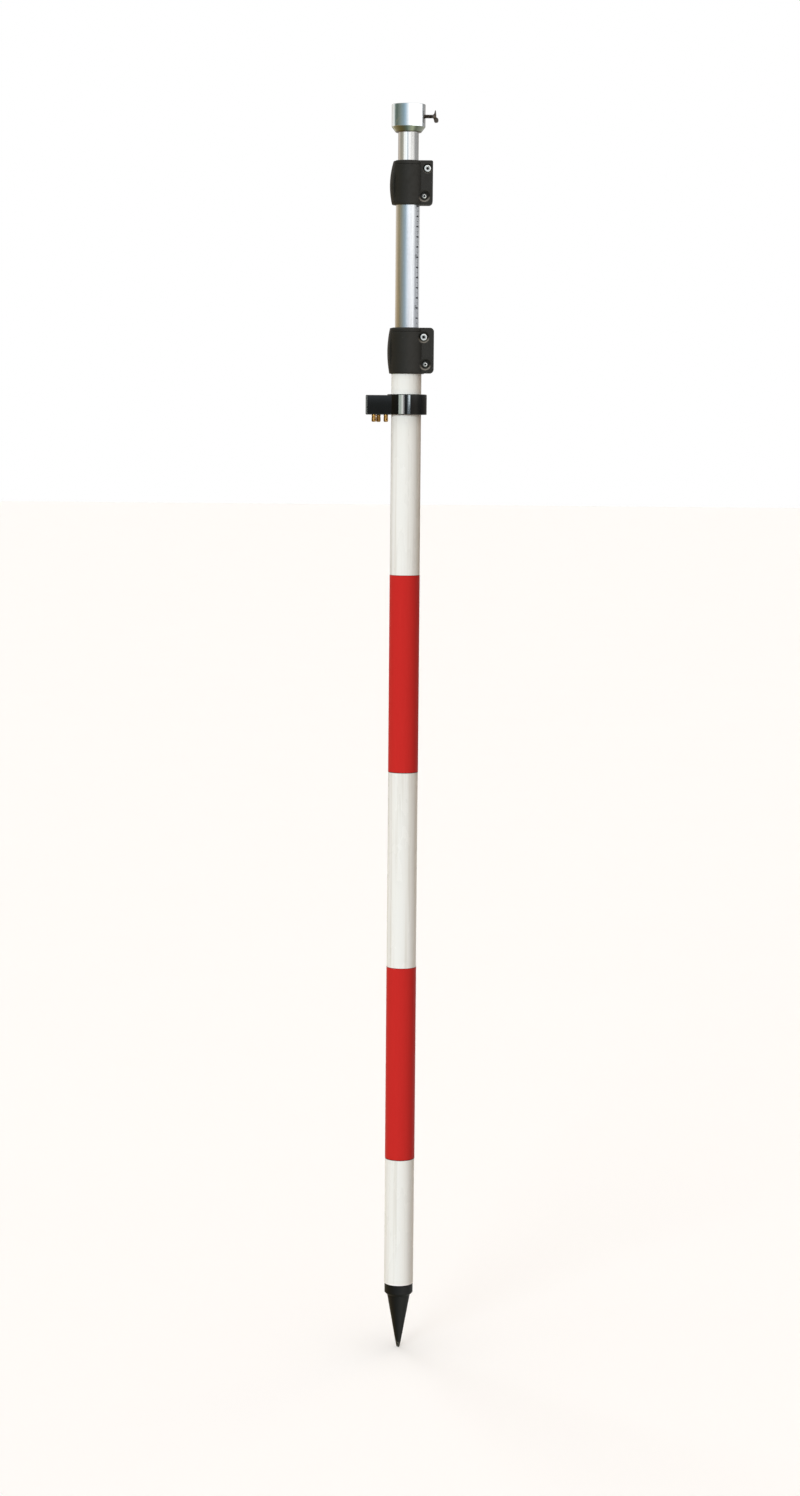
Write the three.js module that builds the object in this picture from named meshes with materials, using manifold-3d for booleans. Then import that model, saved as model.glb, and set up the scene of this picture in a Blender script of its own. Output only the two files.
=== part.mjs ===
// Telescopic surveying pole: three nested tubes, two lever clamps, an adjustable circular level,
// a steel ground point and a top socket with a thumb screw.
// Millimetres. Z is the pole axis, pointing up, and Z = 0 is the tip of the ground point.
// +X is the side with the clamp ears and the thumb screw, -Y is the front.

import * as THREE from 'three';
import { mergeVertices } from 'three/addons/utils/BufferGeometryUtils.js';
import Module from 'manifold-3d';

const wasm = await Module();
wasm.setup();

// ---------------------------------------------------------------- driving dimensions

const TUBE_SIDES = 24;
const SCREW_SIDES = 12;
const INNER_SIDES = 16; // plugs, bumpers and other pieces inside the tubes
const FIT = 0.1; // radial or axial gap between pieces that fit together
const RUNNING = 0.3; // gap between pieces that are cut to one another's shape
const REACH = 60; // longer than any clamp or level, for cutting tools

const BAND_LENGTH = 200; // one painted division, counted from the tip
const BAND_FILM = 0.2;
const RED_BAND_STARTS = { red_band_lower: BAND_LENGTH, red_band_upper: 3 * BAND_LENGTH };

const LOWER_TUBE = { outer: 15, inner: 13.5, bottom: 68.5 };
const MID_TUBE = { outer: 12, inner: 11, bottom: 240 };
const UPPER_TUBE = { outer: 10.25, inner: 9.05, bottom: 380, top: 1243.7 };
const GRIP_DEPTH = 21.5; // how far a tube reaches up into its clamp

const POINT = {
  tipFlat: 1.2, tipRadius: 1.9, shoulder: 0.8, coneRadius: 11.8, coneTop: 56.2,
  collarRadius: 14.6, collarBottom: 58.8, studRadius: 4.9, studTop: 92,
};
const INSERT_TOP = 110;
const BUMPER_HEIGHT = 4;
const GUIDE_LENGTH = 105;
const PLUG_HEIGHT = 16;
const PLUG_FLANGE = 4;

// Screw sizes. The cap screw's head is straight and the button head's edge falls away.
const M4_CAP = { shank: 2, head: 3.4, headHeight: 3.9, edge: 0.4, edgeDrop: 0.4, hex: 3, hexDepth: 2.2 };
const M3_BUTTON = { shank: 1.5, head: 2.8, headHeight: 2.4, edge: 1.2, edgeDrop: 1.3, hex: 2, hexDepth: 1.3 };

const LOWER_CLAMP = {
  prefix: 'lower', bottom: 1000.8, height: 45.8, held: LOWER_TUBE, sliding: MID_TUBE,
  sleeveOuter: 14.2, guideOuter: 13.3, coreRadius: 16, frontRadius: 18.2,
  leverTop: 16.9, leverMiddle: 19.4, leverBottom: 17.3, seamAngle: 59.5,
  earReach: 27.1, earLift: 0.8, earTopCorner: 4,
  camBolt: { x: 16.8, rise: 36.4, mouth: 5.7, size: M4_CAP },
  fixingBolt: { x: 18.6, rise: 9.4, mouth: 5.7, size: M3_BUTTON },
};
const UPPER_CLAMP = {
  prefix: 'upper', bottom: 1167.4, height: 43.4, held: MID_TUBE, sliding: UPPER_TUBE,
  sleeveOuter: 12, guideOuter: 10.8, coreRadius: 13.4, frontRadius: 16.6,
  leverTop: 14.6, leverMiddle: 18.1, leverBottom: 15.9, seamAngle: 52.5,
  earReach: 24.6, earLift: 0, earTopCorner: 1.5,
  camBolt: { x: 19.2, rise: 35.4, mouth: 4.6, size: M4_CAP },
  fixingBolt: { x: 16.2, rise: 8.4, mouth: 5.7, size: M3_BUTTON },
};
LOWER_TUBE.top = LOWER_CLAMP.bottom + GRIP_DEPTH;
MID_TUBE.top = UPPER_CLAMP.bottom + GRIP_DEPTH;

const EAR = { front: 10.5, back: 8.5, corner: 4, slit: 2 };
const CLAMP_EDGE = 1.2; // edge chamfer and the height of the lip over the grip sleeve
const TOP_BAND = 4.5; // narrower band round the top of a clamp
const SKIRT_DROP = 10.5; // how far a grip sleeve hangs down inside the tube below it
const HUB = { radius: 4.9, offset: 0.5, rise: -8.2, height: 16.2 };
const LEVER_END_ANGLE = 205;
const THRUST_PLATE = 1.2;
const PIVOT_Y = EAR.back + THRUST_PLATE + 2 * FIT + HUB.radius + HUB.offset;

const RECESS = { radius: 4.1, flare: 1.4, floor: EAR.front - M4_CAP.headHeight };
const BARREL_RADIUS = 3;
const NUT = { acrossFlats: 5.5, thickness: 2.4 };

const SOCKET = {
  bottom: 1238.6, neck: 12.7, shoulder: 1244, outer: 16.8, top: 1265.9,
  bore: 12.5, floor: 1247, spigotBottom: 1215,
};
const THUMB_SCREW = { z: 1254.4, shank: 1.95, tip: 12.2, neck: 24.2, end: 29.6, reach: 6.1, turn: 15 };

const LEVEL = {
  bottom: 960.3, top: 979.6, ringTop: 980.6, ringRadius: 20.6, bore: 15.4,
  left: -40.5, right: -8, halfWidth: 14.5, corner: 1.5,
  centre: -26.8, pocket: 10.4, pocketFloor: 967.6, cup: 9.9, cupBottom: 968.9, cupFloor: 972.3,
};
const LEVEL_SCREW = { circle: 7, firstAngle: 21.8, shank: 1.4, head: 2.25, bottom: 953, top: 971.3 };

const LOOKS = {
  paint_white: { color: 0xede9e3, roughness: 0.35, metalness: 0 },
  film_red: { color: 0xc3322e, roughness: 0.35, metalness: 0 },
  paint_black: { color: 0x21201a, roughness: 0.45, metalness: 0.1 },
  aluminium: { color: 0xc9ced4, roughness: 0.25, metalness: 1 },
  plastic_black: { color: 0x32302b, roughness: 0.6, metalness: 0 },
  plastic_gloss: { color: 0x1e1e1b, roughness: 0.15, metalness: 0 },
  acetal: { color: 0xe6e2d8, roughness: 0.5, metalness: 0 },
  rubber: { color: 0x1c1c1c, roughness: 0.9, metalness: 0 },
  steel: { color: 0xb8b8b4, roughness: 0.3, metalness: 1 },
  brass: { color: 0xb98d45, roughness: 0.3, metalness: 1 },
  glass: { color: 0xe8f4f0, roughness: 0.05, metalness: 0 },
  liquid: { color: 0xb8d84a, roughness: 0.1, metalness: 0 },
};

// ---------------------------------------------------------------- shape helpers

const radians = THREE.MathUtils.degToRad;

// Solid of revolution about Z. Corners are [radius, z], anticlockwise round the section.
function revolve(corners, sides = TUBE_SIDES) {
  const outline = corners.map(([radius, z]) => new THREE.Vector2(radius, z));
  return new THREE.LatheGeometry(outline, sides).rotateX(Math.PI / 2);
}

function tube(outer, inner, bottom, top) {
  return revolve([[inner, bottom], [outer, bottom], [outer, top], [inner, top], [inner, bottom]]);
}

const sectionTube = ({ outer, inner, bottom, top }) => tube(outer, inner, bottom, top);

function rod(radius, bottom, top, sides = TUBE_SIDES) {
  return revolve([[0, bottom], [radius, bottom], [radius, top], [0, top]], sides);
}

// Turned pieces are drawn standing on Z and then laid over: the top end goes to the front (-Y)...
const facingFront = (geometry) => geometry.rotateX(Math.PI / 2);
// ...or to the right (+X).
const facingRight = (geometry) => geometry.rotateY(Math.PI / 2);

function block(xFrom, xTo, yFrom, yTo, zFrom, zTo) {
  const box = new THREE.BoxGeometry(xTo - xFrom, yTo - yFrom, zTo - zFrom);
  return box.translate((xFrom + xTo) / 2, (yFrom + yTo) / 2, (zFrom + zTo) / 2);
}

function slab(shape, zFrom, zTo) {
  const options = { depth: zTo - zFrom, bevelEnabled: false, curveSegments: 4 };
  return new THREE.ExtrudeGeometry(shape, options).translate(0, 0, zFrom);
}

function roundedRectangle(left, right, bottom, top, radius, topRadius = radius) {
  const shape = new THREE.Shape();
  shape.moveTo(left + radius, bottom);
  shape.absarc(right - radius, bottom + radius, radius, -Math.PI / 2, 0);
  shape.absarc(right - topRadius, top - topRadius, topRadius, 0, Math.PI / 2);
  shape.absarc(left + topRadius, top - topRadius, topRadius, Math.PI / 2, Math.PI);
  shape.absarc(left + radius, bottom + radius, radius, Math.PI, 1.5 * Math.PI);
  return shape;
}

function polygonShape(points) {
  return new THREE.Shape(points.map(([x, y]) => new THREE.Vector2(x, y)));
}

function hexagon(acrossFlats, zFrom, zTo) {
  return rod(acrossFlats / Math.sqrt(3), zFrom, zTo, 6);
}

// A point at a clamp angle: 0 is the front (-Y), 90 the left (-X), 180 the back (+Y).
function around(angle, radius) {
  return [-radius * Math.sin(radians(angle)), -radius * Math.cos(radians(angle))];
}

// Wedge of clamp angles, for cutting a revolved wall down to a sector.
function wedge(fromAngle, toAngle, zFrom, zTo) {
  const steps = 6;
  const points = [[0, 0]];
  for (let i = 0; i <= steps; i += 1) {
    points.push(around(toAngle + ((fromAngle - toAngle) * i) / steps, REACH));
  }
  return slab(polygonShape(points), zFrom, zTo);
}

// ---------------------------------------------------------------- booleans

function solid(geometry) {
  const bare = geometry.index ? geometry.toNonIndexed() : geometry.clone();
  bare.deleteAttribute('normal');
  bare.deleteAttribute('uv');
  const merged = mergeVertices(bare, 1e-4);
  const corners = merged.index.array;
  const triangles = [];
  for (let i = 0; i < corners.length; i += 3) {
    const [a, b, c] = corners.slice(i, i + 3);
    if (a !== b && b !== c && c !== a) triangles.push(a, b, c);
  }
  return new wasm.Manifold(new wasm.Mesh({
    numProp: 3,
    vertProperties: new Float32Array(merged.attributes.position.array),
    triVerts: new Uint32Array(triangles),
  }));
}

function geometryOf(manifold) {
  const mesh = manifold.getMesh();
  const geometry = new THREE.BufferGeometry();
  geometry.setAttribute('position', new THREE.BufferAttribute(mesh.vertProperties, 3));
  geometry.setIndex(new THREE.BufferAttribute(mesh.triVerts, 1));
  return geometry;
}

function join(first, ...others) {
  return geometryOf(others.reduce((sum, other) => sum.add(solid(other)), solid(first)));
}

function cut(first, ...others) {
  return geometryOf(others.reduce((rest, other) => rest.subtract(solid(other)), solid(first)));
}

function common(first, second) {
  return geometryOf(solid(first).intersect(solid(second)));
}

function piece(name, look, geometry) {
  const shaded = geometry.index ? geometry.toNonIndexed() : geometry;
  shaded.computeVertexNormals();
  const mesh = new THREE.Mesh(shaded, new THREE.MeshStandardMaterial(LOOKS[look]));
  mesh.name = name;
  return mesh;
}

// ---------------------------------------------------------------- tubes, point and end pieces

function polePoint() {
  const p = POINT;
  const collarTop = LOWER_TUBE.bottom - RUNNING;
  return revolve([
    [0, 0], [p.tipFlat, 0], [p.tipRadius, p.shoulder], [p.coneRadius, p.coneTop],
    [p.collarRadius, p.collarBottom], [p.collarRadius, collarTop - 0.4], [p.collarRadius - 0.4, collarTop],
    [p.studRadius, collarTop], [p.studRadius, p.studTop - 1], [p.studRadius - 1, p.studTop], [0, p.studTop],
  ]);
}

function pointInsert() {
  const radius = LOWER_TUBE.inner - FIT;
  const hole = POINT.studRadius + FIT;
  const holeTop = POINT.studTop + 4;
  return revolve([
    [hole, LOWER_TUBE.bottom], [radius, LOWER_TUBE.bottom], [radius, INSERT_TOP - 1],
    [radius - 1, INSERT_TOP], [0, INSERT_TOP], [0, holeTop + 2], [hole, holeTop], [hole, LOWER_TUBE.bottom],
  ]);
}

function disc(radius, bottom, top) {
  const corners = [[0, bottom], [radius, bottom], [radius, top - 0.8], [radius - 0.8, top], [0, top]];
  return revolve(corners, INNER_SIDES);
}

// Plug in the bottom end of a sliding tube; its flange holds the guide sleeve.
function endPlug(section, guideOuter) {
  const radius = section.inner - FIT;
  const top = section.bottom + PLUG_HEIGHT;
  const flangeTop = section.bottom - FIT;
  const flangeBottom = section.bottom - PLUG_FLANGE;
  return revolve([
    [0, flangeBottom], [guideOuter - 1, flangeBottom], [guideOuter - FIT, flangeBottom + 1],
    [guideOuter - FIT, flangeTop], [radius, flangeTop], [radius, top], [0, top],
  ], INNER_SIDES);
}

function guideSleeve(section, guideOuter) {
  const inner = section.outer + FIT / 2;
  return tube(guideOuter, inner, section.bottom, section.bottom + GUIDE_LENGTH);
}

// ---------------------------------------------------------------- lever clamp

// Radius of the barrel-shaped outer face of the lever at a fraction of the clamp's height.
function leverRadius(clamp, fraction) {
  const straight = THREE.MathUtils.lerp(clamp.leverBottom, clamp.leverTop, fraction);
  const bulge = clamp.leverMiddle - (clamp.leverBottom + clamp.leverTop) / 2;
  return straight + bulge * 4 * fraction * (1 - fraction);
}

// Outer face of the clamp body under the lever: straight, then drawn in near the top.
function coreProfile(clamp, allowance) {
  const low = clamp.coreRadius + allowance;
  const draw = (clamp.coreRadius - clamp.leverTop + CLAMP_EDGE + 0.4);
  const high = low - Math.max(draw, 0);
  return [[low, clamp.bottom], [low, clamp.bottom + clamp.height - 8], [high, clamp.bottom + clamp.height]];
}

function boltHole(bolt, clamp) {
  const hole = facingFront(rod(bolt.size.shank + 2 * FIT, -REACH, REACH, SCREW_SIDES));
  return hole.translate(bolt.x, 0, clamp.bottom + bolt.rise);
}

function boltRecess(bolt, clamp) {
  const recess = revolve([
    [0, RECESS.floor], [RECESS.radius, RECESS.floor], [RECESS.radius, EAR.front - RECESS.flare],
    [bolt.mouth, EAR.front], [bolt.mouth, REACH], [0, REACH],
  ], 16);
  return facingFront(recess).translate(bolt.x, 0, clamp.bottom + bolt.rise);
}

// Split collar: its lower half is bolted on the tube below, its upper half squeezes the grip sleeve.
function clampBody(clamp) {
  const top = clamp.bottom + clamp.height;
  const core = revolve([[0, clamp.bottom], ...coreProfile(clamp, 0), [0, top]]);
  const front = clamp.frontRadius;
  const shell = revolve([
    [0, clamp.bottom], [front - CLAMP_EDGE, clamp.bottom], [front, clamp.bottom + CLAMP_EDGE],
    [front, top - TOP_BAND], [front - 0.5, top - TOP_BAND + 0.5],
    [front - 0.5, top - CLAMP_EDGE], [front - 0.5 - CLAMP_EDGE, top], [0, top],
  ]);
  const frontShell = common(shell, wedge(-90, clamp.seamAngle - 1, clamp.bottom - 1, top + 1));
  const earBottom = clamp.bottom + clamp.earLift;
  const earOutline = roundedRectangle(5, clamp.earReach, earBottom, top, EAR.corner, clamp.earTopCorner);
  const ears = facingFront(slab(earOutline, -EAR.back, EAR.front));
  const step = clamp.bottom + GRIP_DEPTH + RUNNING;
  const lip = top - CLAMP_EDGE;
  const bore = revolve([
    [0, clamp.bottom - 1], [clamp.held.outer + FIT, clamp.bottom - 1], [clamp.held.outer + FIT, step],
    [clamp.sleeveOuter + FIT, step], [clamp.sleeveOuter + FIT, lip],
    [clamp.sliding.outer + 0.6, lip], [clamp.sliding.outer + 0.6, top + 1], [0, top + 1],
  ]);
  const slit = block(0, REACH, -EAR.slit / 2, EAR.slit / 2, clamp.bottom - 1, top + 1);
  const bolts = [clamp.camBolt, clamp.fixingBolt];
  return cut(
    join(core, frontShell, ears), bore, slit,
    ...bolts.map((bolt) => boltHole(bolt, clamp)), ...bolts.map((bolt) => boltRecess(bolt, clamp)),
  );
}

function leverShell(clamp) {
  const edge = RUNNING;
  const bottom = clamp.bottom + edge;
  const height = clamp.height - 2 * edge;
  const steps = 6;
  const outer = [];
  for (let i = 0; i <= steps; i += 1) {
    const fraction = i / steps;
    outer.push([leverRadius(clamp, fraction), bottom + height * fraction]);
  }
  const [[lowRadius], [, bendHeight], [highRadius]] = coreProfile(clamp, RUNNING);
  const inner = [[highRadius, bottom + height], [lowRadius, bendHeight], [lowRadius, bottom]];
  const ring = revolve([...outer, ...inner, outer[0]]);
  return common(ring, wedge(clamp.seamAngle, LEVER_END_ANGLE, bottom - 1, bottom + height + 1));
}

// Lever: a curved shell that ends in a forked eccentric hub round the pivot barrel.
function lever(clamp) {
  const pivotX = clamp.camBolt.x;
  const boltZ = clamp.bottom + clamp.camBolt.rise;
  const hubBottom = boltZ + HUB.rise;
  const hubTop = hubBottom + HUB.height;
  const hub = rod(HUB.radius, hubBottom, hubTop, INNER_SIDES).translate(pivotX, PIVOT_Y - HUB.offset, 0);
  const neck = slab(polygonShape([
    around(192, clamp.leverMiddle - 0.8), around(203, clamp.coreRadius + 2 * RUNNING),
    [pivotX - 4, PIVOT_Y - 2.2], [pivotX, PIVOT_Y + HUB.radius - HUB.offset - FIT],
  ].reverse()), hubBottom, hubTop);
  const barrelHole = rod(BARREL_RADIUS + 1.5 * FIT, hubBottom - 1, hubTop + 1, INNER_SIDES)
    .translate(pivotX, PIVOT_Y, 0);
  const gap = M4_CAP.shank + RUNNING;
  const boltSlot = block(
    pivotX - gap, pivotX + 8, PIVOT_Y - 8, PIVOT_Y + M4_CAP.shank + 1, boltZ - gap, boltZ + gap,
  );
  return cut(join(leverShell(clamp), hub, neck), barrelHole, boltSlot);
}

// Split sleeve that turns in the clamp and lets the sliding tube through.
function gripSleeve(clamp) {
  const shoulder = clamp.bottom + GRIP_DEPTH + 2 * RUNNING;
  const top = clamp.bottom + clamp.height - CLAMP_EDGE - RUNNING;
  const skirtBottom = shoulder - SKIRT_DROP;
  const inner = clamp.sliding.outer + 1.5 * FIT;
  const ring = revolve([
    [inner, skirtBottom], [clamp.guideOuter, skirtBottom], [clamp.guideOuter, shoulder],
    [clamp.sleeveOuter - FIT, shoulder], [clamp.sleeveOuter - FIT, top], [inner, top], [inner, skirtBottom],
  ]);
  return cut(ring, block(0, REACH, -0.8, 0.8, skirtBottom - 1, top + 1));
}

// Clamp screw, its head in the recess at the front and its tip at tipY behind the ears.
function clampScrew(clamp, bolt, tipY) {
  const { shank, head, headHeight, edge, edgeDrop, hex, hexDepth } = bolt.size;
  const headBottom = RECESS.floor + FIT;
  const headTop = RECESS.floor + headHeight;
  const screw = revolve([
    [0, -tipY], [shank - 0.4, -tipY], [shank, 0.4 - tipY], [shank, headBottom],
    [head, headBottom], [head, headTop - edgeDrop], [head - edge, headTop], [0, headTop],
  ], SCREW_SIDES);
  const driven = facingFront(cut(screw, hexagon(hex, headTop - hexDepth, headTop + 1)));
  return driven.translate(bolt.x, 0, clamp.bottom + bolt.rise);
}

function pivotBarrel(clamp) {
  const hubBottom = clamp.camBolt.rise + HUB.rise;
  const barrel = rod(BARREL_RADIUS, hubBottom, hubBottom + HUB.height, SCREW_SIDES);
  const hole = facingFront(rod(M4_CAP.shank + 1.5 * FIT, -REACH, REACH, SCREW_SIDES));
  const drilled = cut(barrel, hole.translate(0, 0, clamp.camBolt.rise));
  return drilled.translate(clamp.camBolt.x, PIVOT_Y, clamp.bottom);
}

function thrustPlate(clamp) {
  const x = clamp.camBolt.x;
  const z = clamp.bottom + clamp.camBolt.rise;
  const back = EAR.back + FIT;
  const plate = block(x - 2.9, x + 5, back, back + THRUST_PLATE, z + HUB.rise, z - HUB.rise);
  return cut(plate, boltHole(clamp.camBolt, clamp));
}

function lockNut(clamp) {
  const hole = rod(clamp.fixingBolt.size.shank + 1.5 * FIT, -1, REACH, SCREW_SIDES);
  const nut = cut(hexagon(NUT.acrossFlats, 0, NUT.thickness), hole);
  const y = EAR.back + FIT + NUT.thickness;
  return facingFront(nut).translate(clamp.fixingBolt.x, y, clamp.bottom + clamp.fixingBolt.rise);
}

// Everything of a clamp that is fixed to the tube below it.
function clampPieces(clamp) {
  const { prefix, camBolt, fixingBolt } = clamp;
  const camScrew = clampScrew(clamp, camBolt, PIVOT_Y + 2.4);
  const fixingScrew = clampScrew(clamp, fixingBolt, EAR.back + NUT.thickness + 1);
  return [
    piece(`${prefix}_clamp_body`, 'plastic_black', clampBody(clamp)),
    piece(`${prefix}_cam_bolt`, 'steel', camScrew),
    piece(`${prefix}_pivot_barrel`, 'steel', pivotBarrel(clamp)),
    piece(`${prefix}_thrust_plate`, 'steel', thrustPlate(clamp)),
    piece(`${prefix}_fixing_bolt`, 'steel', fixingScrew),
    piece(`${prefix}_fixing_nut`, 'steel', lockNut(clamp)),
  ];
}

// ---------------------------------------------------------------- head socket and thumb screw

function headSocket() {
  const s = SOCKET;
  const tubeSeat = UPPER_TUBE.top + RUNNING;
  const tubeHole = UPPER_TUBE.outer + FIT;
  const spigot = UPPER_TUBE.inner - FIT;
  const body = revolve([
    [0, s.spigotBottom], [spigot - 1, s.spigotBottom], [spigot, s.spigotBottom + 1], [spigot, tubeSeat],
    [tubeHole, tubeSeat], [tubeHole, s.bottom], [s.neck, s.bottom], [s.outer, s.shoulder],
    [s.outer, s.top - 0.4], [s.outer - 0.4, s.top], [s.bore + 0.5, s.top], [s.bore, s.top - 0.5],
    [s.bore, s.floor], [0, s.floor],
  ]);
  const screwHole = facingRight(rod(THUMB_SCREW.shank + 1.5 * FIT, 0, REACH, SCREW_SIDES));
  return cut(body, screwHole.translate(0, 0, THUMB_SCREW.z));
}

function thumbScrewShank() {
  const t = THUMB_SCREW;
  const shank = revolve([
    [0, t.tip], [t.shank - 0.5, t.tip], [t.shank, t.tip + 0.5], [t.shank, t.neck - FIT], [0, t.neck - FIT],
  ], SCREW_SIDES);
  return facingRight(shank).translate(0, 0, t.z);
}

// Hub with a slim pointed wing and a broad round one, drawn with its axis on Z and laid over to +X.
function thumbScrewWing() {
  const t = THUMB_SCREW;
  const hubEnd = t.neck + 3.2;
  const hub = revolve([
    [0, t.neck], [2, t.neck], [2.4, t.neck + 0.6], [1.8, hubEnd], [0, hubEnd],
  ], SCREW_SIDES);
  const lobe = 2.1;
  const wings = new THREE.Shape();
  wings.moveTo(-t.reach, t.neck + 1.9);
  wings.lineTo(-1, t.neck + 0.5);
  wings.lineTo(t.reach - 2 * lobe, t.neck + 0.4);
  wings.lineTo(t.reach - lobe, t.neck + 0.8);
  wings.absarc(t.reach - lobe, t.end - lobe, lobe, 0, Math.PI / 2);
  wings.lineTo(0.6, hubEnd);
  wings.lineTo(-1.6, hubEnd);
  wings.lineTo(-t.reach, t.neck + 2.6);
  const plate = slab(wings, -0.7, 0.7).rotateX(Math.PI / 2);
  const head = join(hub, plate).rotateZ(radians(t.turn));
  return facingRight(head).translate(0, 0, t.z);
}

// ---------------------------------------------------------------- circular level

function levelScrewPlaces() {
  return [0, 1, 2].map((i) => {
    const angle = radians(LEVEL_SCREW.firstAngle + 120 * i);
    return [LEVEL.centre + LEVEL_SCREW.circle * Math.cos(angle), -LEVEL_SCREW.circle * Math.sin(angle)];
  });
}

function levelBracket() {
  const l = LEVEL;
  const outline = roundedRectangle(l.left, l.right, -l.halfWidth, l.halfWidth, l.corner);
  const housing = slab(outline, l.bottom, l.top);
  const ring = rod(l.ringRadius, l.bottom, l.ringTop);
  const bore = rod(l.bore, l.bottom - 1, l.ringTop + 1);
  const pocket = rod(l.pocket, l.pocketFloor, l.ringTop + 1).translate(l.centre, 0, 0);
  const holes = levelScrewPlaces().map(([x, y]) => {
    return rod(LEVEL_SCREW.shank + 2 * FIT, l.bottom - 1, l.ringTop, SCREW_SIDES).translate(x, y, 0);
  });
  const middle = (l.bottom + l.ringTop) / 2;
  const clampHole = facingFront(rod(M4_CAP.shank + FIT, -REACH, -l.bore + 1, SCREW_SIDES));
  return cut(join(housing, ring), bore, pocket, ...holes, clampHole.translate(0, 0, middle));
}

function levelClampScrew() {
  const inner = LEVEL.bore + FIT;
  const outer = LEVEL.ringRadius - RUNNING;
  const grub = rod(M4_CAP.shank, -outer, -inner, SCREW_SIDES);
  const drive = hexagon(2, -outer - 1, 2 - outer);
  return facingFront(cut(grub, drive)).translate(0, 0, (LEVEL.bottom + LEVEL.ringTop) / 2);
}

function levelCup() {
  const l = LEVEL;
  const rim = l.top - 2.1;
  const wall = l.cup - 1.4;
  const cup = revolve([
    [0, l.cupBottom], [l.cup, l.cupBottom], [l.cup, rim], [wall, rim], [wall, l.cupFloor], [0, l.cupFloor],
  ]);
  const holeTop = LEVEL_SCREW.top + 2 * RUNNING;
  const holes = levelScrewPlaces().map(([x, y]) => {
    const hole = rod(LEVEL_SCREW.shank + 1.5 * FIT, l.cupBottom - 1, holeTop, SCREW_SIDES);
    return hole.translate(x - l.centre, y, 0);
  });
  return cut(cup, ...holes).translate(l.centre, 0, 0);
}

function levelVial() {
  const edge = LEVEL.cup - 1.6;
  const seat = LEVEL.cupFloor + 3.9;
  const shoulder = LEVEL.top - 2.2;
  return revolve([
    [0, seat], [edge, seat], [edge, shoulder], [6.9, shoulder], [6.9, shoulder + 0.8],
    [5, shoulder + 1.2], [2.5, shoulder + 1.45], [0, shoulder + 1.5],
  ]).translate(LEVEL.centre, 0, 0);
}

function levelLiquid() {
  return rod(LEVEL.cup - 1.6, LEVEL.cupFloor + 0.2, LEVEL.cupFloor + 3.7).translate(LEVEL.centre, 0, 0);
}

function levelBezel() {
  const bottom = LEVEL.top - 2;
  const top = LEVEL.top - 0.3;
  const inner = 7.1;
  return revolve([
    [inner, bottom], [LEVEL.cup, bottom], [LEVEL.cup, top - 0.5], [LEVEL.cup - 0.5, top],
    [inner + 0.8, top], [inner, top - 0.8], [inner, bottom],
  ]).translate(LEVEL.centre, 0, 0);
}

function levelRubberRing() {
  const bottom = LEVEL.pocketFloor + FIT;
  return tube(LEVEL.cup, LEVEL_SCREW.circle + LEVEL_SCREW.shank + RUNNING, bottom, bottom + 0.75)
    .translate(LEVEL.centre, 0, 0);
}

// Long-headed adjusting screw with a cross hole for a pin.
function levelScrew() {
  const s = LEVEL_SCREW;
  const headTop = LEVEL.bottom - FIT;
  const screw = revolve([
    [0, s.bottom], [s.head - 0.9, s.bottom], [s.head, s.bottom + 0.9], [s.head, headTop - 0.4],
    [s.head - 0.4, headTop], [s.shank, headTop], [s.shank, s.top], [0, s.top],
  ], SCREW_SIDES);
  const crossHole = facingFront(rod(0.6, -REACH, REACH, 8)).translate(0, 0, s.bottom + 2.6);
  return cut(screw, crossHole);
}

// ---------------------------------------------------------------- assembly

const pole = new THREE.Group();

const lowerSection = new THREE.Group();
lowerSection.add(
  piece('lower_tube', 'paint_white', sectionTube(LOWER_TUBE)),
  piece('point_insert', 'aluminium', pointInsert()),
  piece('lower_bumper', 'rubber', disc(LOWER_TUBE.inner - 0.5, INSERT_TOP + FIT, INSERT_TOP + BUMPER_HEIGHT)),
  piece('pole_point', 'paint_black', polePoint()),
  ...clampPieces(LOWER_CLAMP),
);
for (const [name, start] of Object.entries(RED_BAND_STARTS)) {
  const inner = LOWER_TUBE.outer + 0.02;
  lowerSection.add(piece(name, 'film_red', tube(inner + BAND_FILM, inner, start, start + BAND_LENGTH)));
}
pole.add(lowerSection);

const midSection = new THREE.Group();
const midPlugTop = MID_TUBE.bottom + PLUG_HEIGHT;
midSection.add(
  piece('mid_tube', 'aluminium', sectionTube(MID_TUBE)),
  piece('mid_guide_sleeve', 'acetal', guideSleeve(MID_TUBE, LOWER_CLAMP.guideOuter)),
  piece('mid_end_plug', 'acetal', endPlug(MID_TUBE, LOWER_CLAMP.guideOuter)),
  piece('mid_bumper', 'rubber', disc(MID_TUBE.inner - 0.5, midPlugTop + FIT, midPlugTop + BUMPER_HEIGHT)),
  ...clampPieces(UPPER_CLAMP),
);
pole.add(midSection);

const upperSection = new THREE.Group();
upperSection.add(
  piece('upper_tube', 'aluminium', sectionTube(UPPER_TUBE)),
  piece('upper_guide_sleeve', 'acetal', guideSleeve(UPPER_TUBE, UPPER_CLAMP.guideOuter)),
  piece('upper_end_plug', 'acetal', endPlug(UPPER_TUBE, UPPER_CLAMP.guideOuter)),
  piece('head_socket', 'aluminium', headSocket()),
  piece('thumb_screw_shank', 'steel', thumbScrewShank()),
  piece('thumb_screw_wing', 'steel', thumbScrewWing()),
);
pole.add(upperSection);

for (const clamp of [LOWER_CLAMP, UPPER_CLAMP]) {
  pole.add(piece(`${clamp.prefix}_lever`, 'plastic_black', lever(clamp)));
  pole.add(piece(`${clamp.prefix}_grip_sleeve`, 'acetal', gripSleeve(clamp)));
}

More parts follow.
